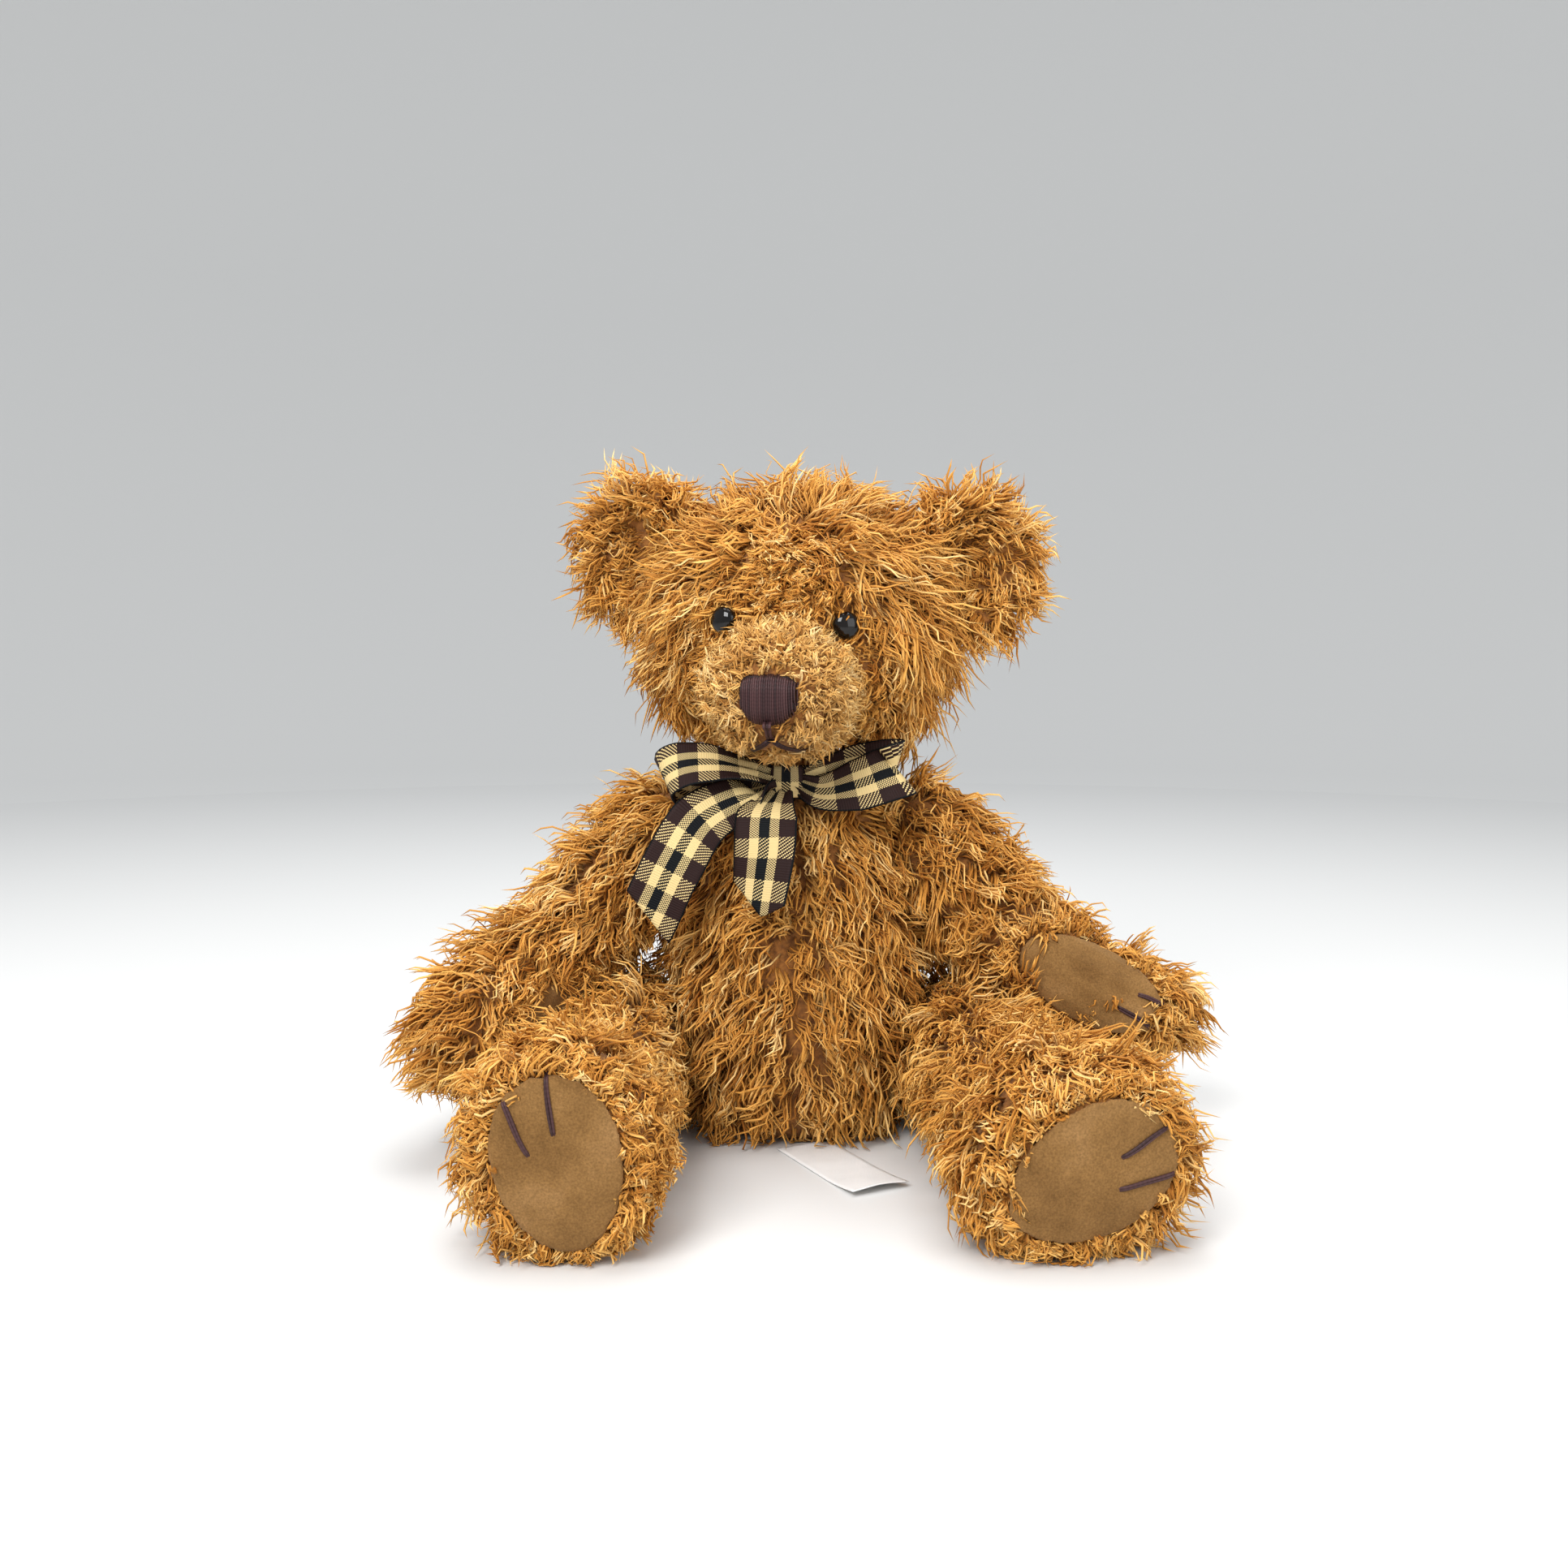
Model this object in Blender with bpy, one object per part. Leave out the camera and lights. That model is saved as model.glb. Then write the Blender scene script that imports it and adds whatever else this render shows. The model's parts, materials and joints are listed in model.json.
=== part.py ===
"""A jointed teddy bear, seated. Metres, +Z up: the bear faces -Y and its seat rests on z = 0.

Every limb and the head is a sewn plush shell over its own stuffing, held to the torso by a disc joint:
a disc with a stud inside the limb, a washer inside the torso, and a lock washer pressed on the stud.
side is +1 for the bear's left, at +X, and -1 for its right.
"""

import math

import bmesh
import bpy
from mathutils import Matrix, Vector

# Cloth, clearances and mesh fineness
WALL = 0.002  # plush backing with its seams
GAP = 0.0003  # between pieces that touch
JOINT_GAP = 0.0012  # between the torso and a limb, where the pile is squeezed
PAD = 0.0012  # suede of the paw and foot pads
THREAD = 0.0008  # laid embroidery thread
SIDES = 16
DISC_SIDES = 14
PIN_SIDES = 10
REACH = 0.04  # how far a cutter runs past the surface it cuts

# The joints, each given by the middle of its flat seat on the torso
NECK_SEAT = Vector((0, 0, 0.1475))
SHOULDER_SEAT = Vector((0.034, 0, 0.112))
HIP_SEAT = Vector((0.0435, -0.004, 0.034))
HIP_TILT = math.radians(1)  # the hip axis points this far below level
SEAT_DENT = 0.003  # how far a limb's round side is pressed flat against its seat
SHOULDER_FLAT = 0.0225
HIP_FLAT = 0.031
NECK_DISC = 0.0125
SHOULDER_DISC = 0.0084
HIP_DISC = 0.0088
STUD = 0.0022
DISC_THICKNESS = 0.0015
STUD_END = 0.0025  # how far the stud shows past its lock washer
LOCK_SHARE = 0.55  # a lock washer's radius as a share of its joint's disc
POCKET_ROOM = 0.0010  # round the discs, where the stuffing is pushed away

# How the bear sits: the head's turns, and each limb's swing, splay and twist about its own length
HEAD_YAW, HEAD_ROLL = math.radians(-7.5), math.radians(2.5)
ARM_POSE = {+1: (16, 34.5, 84), -1: (14, 40, 6)}
LEG_POSE = {+1: (86.7, 7, 60), -1: (86.25, 3, 8)}

# The middle of the seated bear's footprint, measured from the torso's own axis. So is every size below
BEAR_FRAME = "bear_frame"
FOOTPRINT_MIDDLE = Vector((0.0081, -0.0564, 0))

# Outlines as rings: height, half width, half depth, and how far the ring's middle lies forward
TORSO = [
    (0.0000, 0.0330, 0.0310, 0.000),
    (0.0050, 0.0395, 0.0370, 0.000),
    (0.0180, 0.0445, 0.0415, 0.001),
    (0.0380, 0.0470, 0.0440, 0.002),
    (0.0620, 0.0468, 0.0430, 0.002),
    (0.0840, 0.0430, 0.0400, 0.001),
    (0.0980, 0.0397, 0.0370, 0.000),
    (0.1120, 0.0375, 0.0340, 0.000),
    (0.1240, 0.0335, 0.0305, 0.000),
    (0.1340, 0.0280, 0.0265, 0.000),
    (0.1420, 0.0215, 0.0210, 0.000),
    (0.1475, 0.0165, 0.0165, 0.000),
]
ARM = [
    (-0.1140, 0.0075, 0.0080, 0.033),
    (-0.1100, 0.0135, 0.0145, 0.031),
    (-0.1010, 0.0185, 0.0195, 0.026),
    (-0.0880, 0.0200, 0.0215, 0.018),
    (-0.0690, 0.0190, 0.0205, 0.009),
    (-0.0470, 0.0185, 0.0200, 0.003),
    (-0.0200, 0.0190, 0.0205, 0.000),
    (0.0000, 0.0190, 0.0210, 0.000),
    (0.0110, 0.0160, 0.0175, 0.000),
    (0.0170, 0.0100, 0.0110, 0.000),
    (0.0195, 0.0045, 0.0050, 0.000),
]
LEG = [
    (-0.1515, 0.0120, 0.0155, 0.009),
    (-0.1500, 0.0215, 0.0275, 0.009),
    (-0.1445, 0.0270, 0.0320, 0.009),
    (-0.1340, 0.0290, 0.0330, 0.008),
    (-0.1180, 0.0265, 0.0300, 0.006),
    (-0.1000, 0.0225, 0.0245, 0.003),
    (-0.0800, 0.0200, 0.0215, 0.001),
    (-0.0550, 0.0200, 0.0215, 0.000),
    (-0.0250, 0.0205, 0.0225, 0.000),
    (0.0000, 0.0205, 0.0225, 0.000),
    (0.0120, 0.0180, 0.0200, 0.000),
    (0.0190, 0.0120, 0.0130, 0.000),
    (0.0220, 0.0050, 0.0055, 0.000),
]

# The head, measured from the neck seat
HEAD_HALF = (0.052, 0.047, 0.0480)
HEAD_FOOT = 0.0005  # the head's underside above the torso's flat top, before its seat is cut level
HEAD_FLAT_ANGLE = math.radians(-71)
HEAD_ROUNDNESS = (0.88, 0.92)  # below 1 makes it fuller than an ellipsoid, across and front to back
MUZZLE_HALF = (0.0262, 0.0238, 0.038)  # half width, half height, half length
MUZZLE_MIDDLE = Vector((0, -0.042, 0.0228))
MUZZLE_RINGS, MUZZLE_ANGLES = 8, (math.radians(-35), math.radians(80))
MUZZLE_ROUNDNESS = 0.8  # below 1 makes it boxier than an ellipsoid
MUZZLE_CUT = 0.35  # how far back the nose and the mouth are cut from, as a share of the muzzle's length
EYE_RADIUS = 0.005
EYE_STEM = 0.0013
EYE_PLACE = Vector((0.0215, 0, 0.0465))
EYE_WASHER = 0.0045
EYE_DEEP = 0.010  # how deep the stuffing is parted behind an eye
EYE_SEAT = 0.0008  # the gap between the skin and the eye's rim
EYE_RIM = 0.0012  # the height of the rim below the dome
EYE_DOME = 0.8  # the dome's height as a share of its radius
EYE_STEM_DEPTH = 0.0080
EYE_WASHER_HEIGHTS = (-0.0052, -0.0040)
EAR_RADIUS, EAR_DEPTH, EAR_WALL = 0.0250, 0.009, 0.0014
EAR_MIDDLE = Vector((0.0620, 0.004, 0.0720))
EAR_TURN = math.radians(24)  # the ear's cup faces forward and this far outward

# Pads and embroidery, as half sizes or lengths on their own surface
PAW_PAD = (0.029, 0.0150)
PAW_LEAN = math.radians(28)  # how far the wrist bends forward
PAW_PAD_MIDDLE = Vector((0, -0.0175, -0.0815))
FOOT_PAD = (0.0205, 0.0280)
NOSE_SIZE = (0.0190, 0.0176)
NOSE_TOP = 0.0056  # above the muzzle's middle
MOUTH_STEM, MOUTH_ARM, MOUTH_WIDTH = 0.006, 0.0105, 0.0011
CLAW_LENGTH, CLAW_WIDTH = 0.0165, 0.0012
# Each claw stitch: how far across its pad it starts, how far inside the pad's edge, and the share of the
# distance across that is left where it ends
PAW_CLAWS, CLAW_INSET, CLAW_GATHER = (-0.0045, 0.0050), 0.003, 0.7
FOOT_CLAWS, FOOT_CLAW_INSET, FOOT_CLAW_GATHER = (-0.0015, 0.0125), 0.001, 0.62
FOOT_NARROW = 0.10  # how much narrower the foot pad's heel is
SOLE_GUIDE = -0.1300  # the height in the leg from which the sole's cutters reach down

# The plaid ribbon and the blank label
RIBBON_WIDTH, RIBBON_THICKNESS = 0.022, 0.0006
BAND_HEIGHTS = (0.1300, 0.1420)
BAND_OFFSETS = (0.0006, 0.0016)
KNOT_SIZE = (0.013, 0.007, 0.013)
KNOT_MIDDLE = Vector((-0.003, -0.0325, 0.1365))
LOOP_LENGTH = {+1: 0.043, -1: 0.047}
LOOP_DEPTH = 0.014
LOOP_POINTS = 14
TAILS = {
    -1: (
        (-0.0120, -0.0400, 0.1290),
        (-0.0270, -0.0520, 0.1160),
        (-0.0380, -0.0570, 0.1000),
        (-0.0460, -0.0560, 0.0850),
    ),
    +1: (
        (-0.0095, -0.0425, 0.1290),
        (-0.0110, -0.0530, 0.1180),
        (-0.0125, -0.0570, 0.1060),
        (-0.0120, -0.0580, 0.0960),
    ),
}
TAIL_SLANT = 0.009  # how far one corner of a tail's cut end runs past the other
LABEL_SIZE = (0.022, 0.058, 0.0005)
LABEL_START = Vector((0.003, -0.0360, 0.0006))
LABEL_TURN = math.radians(27)

PLUSH = ("plush", (0.50, 0.24, 0.07), 0.95)
STUFFING = ("polyester fill", (0.85, 0.84, 0.80), 1.0)
PLASTIC = ("joint plastic", (0.80, 0.79, 0.74), 0.45)
SUEDE = ("suede", (0.28, 0.15, 0.06), 0.9)
DARK_THREAD = ("dark thread", (0.05, 0.025, 0.022), 0.6)
EYE_BLACK = ("eye black", (0.01, 0.01, 0.01), 0.08)
RIBBON = ("plaid ribbon", (0.20, 0.13, 0.08), 0.5)
LABEL_WHITE = ("label satin", (0.85, 0.85, 0.84), 0.6)


def clear_scene():
    for obj in list(bpy.data.objects):
        bpy.data.objects.remove(obj, do_unlink=True)


def material(finish):
    name, colour, roughness = finish
    found = bpy.data.materials.get(name)
    if found:
        return found
    made = bpy.data.materials.new(name)
    made.use_nodes = True
    shader = made.node_tree.nodes["Principled BSDF"]
    shader.inputs["Base Color"].default_value = (*colour, 1)
    shader.inputs["Roughness"].default_value = roughness
    shader.inputs["Metallic"].default_value = 0
    return made


def frame(name, matrix):
    """An empty that pieces are parented to, on its joint's axis."""
    whole = bpy.data.objects.get(BEAR_FRAME)
    made = bpy.data.objects.new(name, None)
    bpy.context.scene.collection.objects.link(made)
    made.parent = whole
    made.matrix_basis = matrix
    return made


def piece(name, bm, finish=None, parent=None, crease=40):
    """Links a finished bmesh as an object. Without a finish it is a cutter or a guide."""
    bmesh.ops.recalc_face_normals(bm, faces=bm.faces)
    mesh = bpy.data.meshes.new(name)
    bm.to_mesh(mesh)
    bm.free()
    made = bpy.data.objects.new(name, mesh)
    bpy.context.scene.collection.objects.link(made)
    made.parent = parent or bpy.data.objects[BEAR_FRAME]
    if finish is None:
        made.hide_render = True
        made.display_type = "WIRE"
        return made
    mesh.materials.append(material(finish))
    mesh.shade_smooth()
    mesh.set_sharp_from_angle(angle=math.radians(crease))
    return made


def boolean(obj, other, operation="DIFFERENCE"):
    step = obj.modifiers.new(operation.title(), "BOOLEAN")
    step.operation = operation
    step.solver = "EXACT"
    step.object = other


def offset_rings(rings, grow):
    """The rings of the same shape with its surface moved out by grow, or in where grow is negative."""
    profile = [(0.0, rings[0][0])] + [((a + b) / 2, z) for z, a, b, _ in rings] + [(0.0, rings[-1][0])]
    normals = []
    for (r0, z0), (r1, z1) in zip(profile, profile[1:]):
        run = math.hypot(r1 - r0, z1 - z0)
        normals.append(((z1 - z0) / run, (r0 - r1) / run))
    moved = []
    for (z, a, b, forward), (r0, n0), (r1, n1) in zip(rings, normals, normals[1:]):
        mitre = grow / (1 + r0 * r1 + n0 * n1)
        out, up = (r0 + r1) * mitre, (n0 + n1) * mitre
        moved.append((z + up, max(a + out, 0.001), max(b + out, 0.001), forward))
    return moved


def loft(rings, grow=0.0, turn=None, sides=SIDES):
    """A closed tube through elliptical rings, listed from the lowest up, with flat ends."""
    bm = bmesh.new()
    placed = [
        Matrix.Translation((0, -forward, z)) @ Matrix.Diagonal((a, b, 1, 1))
        for z, a, b, forward in (offset_rings(rings, grow) if grow else rings)
    ]
    bmesh.ops.create_circle(bm, segments=sides, radius=1, matrix=placed[0])
    edges = bm.edges[:]
    bmesh.ops.contextual_create(bm, geom=edges)
    for last, following in zip(placed, placed[1:]):
        made = bmesh.ops.extrude_edge_only(bm, edges=edges)["geom"]
        edges = [part for part in made if isinstance(part, bmesh.types.BMEdge)]
        verts = [part for part in made if isinstance(part, bmesh.types.BMVert)]
        bmesh.ops.transform(bm, matrix=following @ last.inverted(), verts=verts)
    bmesh.ops.contextual_create(bm, geom=edges)
    if turn:
        bmesh.ops.transform(bm, matrix=turn, verts=bm.verts)
    return bm


def disc(radius, low, high, matrix=None, sides=DISC_SIDES):
    """A round plate or pin about local Z, between two heights."""
    place = Matrix.Translation((0, 0, (low + high) / 2))
    bm = bmesh.new()
    bmesh.ops.create_cone(
        bm,
        cap_ends=True,
        segments=sides,
        radius1=radius,
        radius2=radius,
        depth=high - low,
        matrix=(matrix or Matrix.Identity(4)) @ place,
    )
    return bm


def prism(outline, depth, matrix):
    """An outline in local XY, run along local Z from 0 to depth."""
    bm = bmesh.new()
    corners = [bm.verts.new((x, y, 0)) for x, y in outline]
    face = bmesh.ops.contextual_create(bm, geom=corners)["faces"]
    made = bmesh.ops.extrude_face_region(bm, geom=face)["geom"]
    lifted = [part for part in made if isinstance(part, bmesh.types.BMVert)]
    bmesh.ops.translate(bm, vec=(0, 0, depth), verts=lifted)
    bmesh.ops.transform(bm, matrix=matrix, verts=bm.verts)
    return bm


def box(size, middle, turn=None):
    bm = bmesh.new()
    place = Matrix.Translation(middle) @ (turn or Matrix.Identity(4)) @ Matrix.Diagonal((*size, 1))
    bmesh.ops.create_cube(bm, size=1, matrix=place)
    return bm


def ellipse(half_width, half_height, narrow=0.0, count=18):
    """Points round an oval. narrow makes its lower end slimmer than its upper end."""
    points = []
    for step in range(count):
        angle = 2 * math.pi * step / count
        width = half_width * (1 + narrow * math.sin(angle))
        points.append((width * math.cos(angle), half_height * math.sin(angle)))
    return points


def bar(start, end, width):
    """A straight stitch as a slim outline with pointed ends."""
    start, end = Vector(start), Vector(end)
    along = (end - start).normalized()
    across = Vector((-along.y, along.x)) * width / 2
    inset = along * width / 2
    one_side = (start, start + inset - across, end - inset - across)
    other_side = (end, end - inset + across, start + inset + across)
    return [tuple(corner) for corner in one_side + other_side]


def ring_tube(outer, inner, height, matrix):
    """A band of cloth that closes on itself: the space between two outlines, run along local Z."""
    bm = bmesh.new()
    loops = []
    for outline in (outer, inner):
        corners = [bm.verts.new((x, y, 0)) for x, y in outline]
        loops += [bm.edges.new((a, b)) for a, b in zip(corners, corners[1:] + corners[:1])]
    faces = bmesh.ops.bridge_loops(bm, edges=loops)["faces"]
    made = bmesh.ops.extrude_face_region(bm, geom=faces)["geom"]
    lifted = [part for part in made if isinstance(part, bmesh.types.BMVert)]
    bmesh.ops.translate(bm, vec=(0, 0, height), verts=lifted)
    bmesh.ops.transform(bm, matrix=matrix, verts=bm.verts)
    return bm


def seats():
    """Each joint's frame: its origin in the middle of the torso's seat, its Z out along the axis."""
    found = {"neck": (Matrix.Translation(NECK_SEAT), NECK_DISC)}
    for side, word in ((+1, "left"), (-1, "right")):
        mirrored = Matrix.Diagonal((side, 1, 1)).to_3x3()
        out = Matrix.Rotation(side * math.pi / 2, 4, "Y")
        found[word + "_shoulder"] = (Matrix.Translation(mirrored @ SHOULDER_SEAT) @ out, SHOULDER_DISC)
        tipped = Matrix.Rotation(side * (math.pi / 2 + HIP_TILT), 4, "Y")
        found[word + "_hip"] = (Matrix.Translation(mirrored @ HIP_SEAT) @ tipped, HIP_DISC)
    return found


def joint_hardware(name, seat, radius):
    """The disc with its stud, the torso washer and the lock washer, stacked along the seat's Z."""
    disc_low = JOINT_GAP + WALL + GAP
    washer_high = -WALL - GAP
    lock_high = washer_high - DISC_THICKNESS - GAP
    stud_low = lock_high - DISC_THICKNESS - STUD_END
    moving = frame(name + "_stud_frame", seat)
    stud_disc = disc(radius, disc_low, disc_low + DISC_THICKNESS)
    stud_disc = piece(name + "_stud_disc", stud_disc, PLASTIC, moving)
    pin = disc(STUD, stud_low, disc_low + DISC_THICKNESS / 2, sides=PIN_SIDES)
    pin = piece(name + "_pin_guide", pin, parent=moving)
    boolean(stud_disc, pin, "UNION")
    bore = piece(name + "_bore", disc(STUD + GAP, -REACH, disc_low, sides=PIN_SIDES), parent=moving)
    washer = disc(radius, washer_high - DISC_THICKNESS, washer_high)
    washer = piece(name + "_torso_washer", washer, PLASTIC, moving)
    boolean(washer, bore)
    lock = disc(radius * LOCK_SHARE, lock_high - DISC_THICKNESS, lock_high, sides=PIN_SIDES)
    lock = piece(name + "_lock_washer", lock, PLASTIC, moving)
    boolean(lock, bore)
    return moving


def stud_cutters(name, seat_frame, radius, flat):
    """Cutters along a joint's axis: the flat seats, the stud's hole, and the pockets in the stuffing."""
    lock_low = -WALL - 3 * GAP - 2 * DISC_THICKNESS - STUD_END
    disc_high = JOINT_GAP + WALL + GAP + DISC_THICKNESS
    room = POCKET_ROOM
    shapes = {
        "hole": (STUD + 2 * GAP, -REACH / 2, REACH / 4),
        "torso_seat": (flat, 0, REACH),
        "torso_lining": (flat + WALL, -WALL, REACH),
        "torso_stuffing": (flat + 2 * WALL, -WALL - GAP, REACH),
        "torso_pocket": (radius + room, lock_low - room, REACH / 4),
        "limb_seat": (flat, -REACH, JOINT_GAP),
        "limb_lining": (flat + WALL, -REACH, JOINT_GAP + WALL),
        "limb_stuffing": (flat + 2 * WALL, -REACH, JOINT_GAP + WALL + GAP),
        "limb_pocket": (radius + room, -REACH, disc_high + room),
    }
    return {
        key: piece(f"{name}_{key}_cutter", disc(size, low, high), parent=seat_frame)
        for key, (size, low, high) in shapes.items()
    }


def shell(name, rings, finish, parent, turn=None, seat=(), lining=(), holes=()):
    """A plush skin with a hollow inside, flat where it is seated and open where studs or stems pass."""
    skin = piece(name, loft(rings, turn=turn), finish, parent)
    hollow = piece(name + "_hollow", loft(rings, -WALL, turn), parent=parent)
    for cutter in lining:
        boolean(hollow, cutter)
    for cutter in seat:
        boolean(skin, cutter)
    boolean(skin, hollow)
    for cutter in holes:
        boolean(skin, cutter)
    return skin


def stuffing(name, rings, parent, turn=None, cutters=()):
    fill = piece(name, loft(rings, -WALL - GAP, turn), STUFFING, parent)
    for cutter in cutters:
        boolean(fill, cutter)
    return fill


def patch(name, outline_mesh, rings, offsets, finish, parent, turn=None):
    """A thin piece that lies on a lofted surface, inside an outline: cloth, embroidery or a stitch."""
    cut = piece(name, outline_mesh, finish, parent)
    outer = piece(name + "_outer_guide", loft(rings, offsets[1], turn), parent=parent)
    inner = piece(name + "_inner_guide", loft(rings, offsets[0], turn), parent=parent)
    boolean(cut, outer, "INTERSECT")
    boolean(cut, inner)
    return cut


def head_rings(half, count=10, first=HEAD_FLAT_ANGLE):
    """Rings of an ellipsoid that stands on a flat underside at height 0."""
    half_width, half_depth, half_height = half
    last = math.radians(82)
    angles = [first + (last - first) * step / (count - 1) for step in range(count)]
    low = half_height * math.sin(first)
    return [
        (
            half_height * math.sin(angle) - low,
            half_width * math.cos(angle) ** HEAD_ROUNDNESS[0],
            half_depth * math.cos(angle) ** HEAD_ROUNDNESS[1],
            0.0,
        )
        for angle in angles
    ]


def torso(cutters):
    limbs = [cutters[name] for name in cutters if name != "neck"]
    skin = shell(
        "torso_skin",
        TORSO,
        PLUSH,
        None,
        seat=[cut["torso_seat"] for cut in limbs],
        lining=[cut["torso_lining"] for cut in limbs],
        holes=[cut["hole"] for cut in cutters.values()],
    )
    pockets = [cut["torso_stuffing"] for cut in limbs] + [cut["torso_pocket"] for cut in cutters.values()]
    fill = stuffing("torso_stuffing", TORSO, None, cutters=pockets)
    return skin, fill


def pivot_half_width(rings):
    """A limb's half width at the height of its joint's axis."""
    return next(half_width for height, half_width, _, _ in rings if height == 0)


def limb_frame(seat, half_thickness, turn):
    """A limb's own frame: its origin on the joint's axis, in the middle of the limb's round top."""
    middle = seat @ Vector((0, 0, JOINT_GAP + half_thickness - SEAT_DENT))
    return Matrix.Translation(middle) @ turn


def arm(side, word, seat, cutters):
    swing, splay, twist = (math.radians(angle) for angle in ARM_POSE[side])
    turn = (
        Matrix.Rotation(-swing, 4, "X")
        @ Matrix.Rotation(-side * splay, 4, "Y")
        @ Matrix.Rotation(side * twist, 4, "Z")
    )
    at = frame(word + "_arm_frame", limb_frame(seat, pivot_half_width(ARM), turn))
    names = [cutters[key] for key in ("limb_seat", "limb_lining", "hole", "limb_stuffing", "limb_pocket")]
    shell(word + "_arm_skin", ARM, PLUSH, at, seat=names[:1], lining=names[1:2], holes=names[2:3])
    stuffing(word + "_arm_stuffing", ARM, at, cutters=names[3:])
    # The pad lies on the palm, which faces the torso when the arm hangs untwisted, and leans with the wrist.
    palm = (
        Matrix.Translation(PAW_PAD_MIDDLE)
        @ Matrix.Rotation(-PAW_LEAN, 4, "X")
        @ Matrix.Rotation(-side * math.pi / 2, 4, "Y")
        @ Matrix.Rotation(-side * math.pi / 2, 4, "Z")
    )
    outline = [(y, x * side) for x, y in ellipse(*PAW_PAD)]
    patch(word + "_paw_pad", prism(outline, REACH, palm), ARM, (GAP, GAP + PAD), SUEDE, at)
    low = 2 * GAP + PAD
    for number, across in enumerate(PAW_CLAWS, start=1):
        start = CLAW_INSET - PAW_PAD[0]
        tip, root = (across, start), (across * CLAW_GATHER, start + CLAW_LENGTH)
        stitch = prism(bar(tip, root, CLAW_WIDTH), REACH, palm)
        patch(f"{word}_paw_claw_stitch_{number}", stitch, ARM, (low, low + THREAD), DARK_THREAD, at)


def leg(side, word, seat, cutters):
    swing, splay, twist = (math.radians(angle) for angle in LEG_POSE[side])
    turn = (
        Matrix.Rotation(side * HIP_TILT, 4, "Y")
        @ Matrix.Rotation(-swing, 4, "X")
        @ Matrix.Rotation(-side * splay, 4, "Y")
        @ Matrix.Rotation(side * twist, 4, "Z")
    )
    at = frame(word + "_leg_frame", limb_frame(seat, pivot_half_width(LEG), turn))
    names = [cutters[key] for key in ("limb_seat", "limb_lining", "hole", "limb_stuffing", "limb_pocket")]
    shell(word + "_leg_skin", LEG, PLUSH, at, seat=names[:1], lining=names[1:2], holes=names[2:3])
    stuffing(word + "_leg_stuffing", LEG, at, cutters=names[3:])
    # The sole faces local -Z, and its outline's upper end is the toes, at local -Y.
    sole = Matrix.Translation((0, -LEG[1][3], SOLE_GUIDE)) @ Matrix.Rotation(math.pi, 4, "X")
    outline = ellipse(*FOOT_PAD, narrow=FOOT_NARROW)
    patch(word + "_foot_pad", prism(outline, REACH, sole), LEG, (GAP, GAP + PAD), SUEDE, at)
    low = 2 * GAP + PAD
    for number, across in enumerate(FOOT_CLAWS, start=1):
        top = FOOT_PAD[1] * math.sqrt(1 - (across / FOOT_PAD[0]) ** 2) - FOOT_CLAW_INSET
        ends = (across * side, top), (across * FOOT_CLAW_GATHER * side, top - CLAW_LENGTH)
        stitch = prism(bar(*ends, CLAW_WIDTH), REACH, sole)
        patch(f"{word}_foot_claw_stitch_{number}", stitch, LEG, (low, low + THREAD), DARK_THREAD, at)


def surface_point(half, middle, direction_from):
    """The point of an ellipsoid's front that stands at this width and height, and its outward normal."""
    x, z = direction_from.x - middle.x, direction_from.z - middle.z
    y = -half[1] * math.sqrt(1 - (x / half[0]) ** 2 - (z / half[2]) ** 2)
    normal = Vector((x / half[0] ** 2, y / half[1] ** 2, z / half[2] ** 2)).normalized()
    return Vector((middle.x + x, middle.y + y, middle.z + z)), normal


def head(seat, cutters):
    turn = Matrix.Rotation(HEAD_YAW, 4, "Z") @ Matrix.Rotation(HEAD_ROLL, 4, "Y")
    at = frame("head_frame", seat @ Matrix.Translation((0, 0, HEAD_FOOT)) @ turn)
    rings = head_rings(HEAD_HALF)
    middle = Vector((0, 0, -HEAD_HALF[2] * math.sin(HEAD_FLAT_ANGLE)))
    holes, pockets = [cutters["hole"]], [cutters["limb_stuffing"], cutters["limb_pocket"]]
    for side, word in ((+1, "left"), (-1, "right")):
        place, normal = surface_point(HEAD_HALF, middle, Vector((side * EYE_PLACE.x, 0, EYE_PLACE.z)))
        toward = Matrix.Translation(place) @ normal.to_track_quat("Z", "Y").to_matrix().to_4x4()
        eye_parts(word, toward, at)
        hole = disc(EYE_STEM + 2 * GAP, -EYE_DEEP, EYE_DEEP, toward, PIN_SIDES)
        pocket = disc(EYE_WASHER + POCKET_ROOM, -EYE_DEEP, EYE_DEEP, toward, DISC_SIDES)
        holes.append(piece(word + "_eye_hole", hole, parent=at))
        pockets.append(piece(word + "_eye_pocket", pocket, parent=at))
    seat_cut, lining_cut = [cutters["limb_seat"]], [cutters["limb_lining"]]
    shell("head_skin", rings, PLUSH, at, seat=seat_cut, lining=lining_cut, holes=holes)
    stuffing("head_stuffing", rings, at, cutters=pockets)
    muzzle(rings, at)
    for side, word in ((+1, "left"), (-1, "right")):
        ear(side, word, rings, at)


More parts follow.
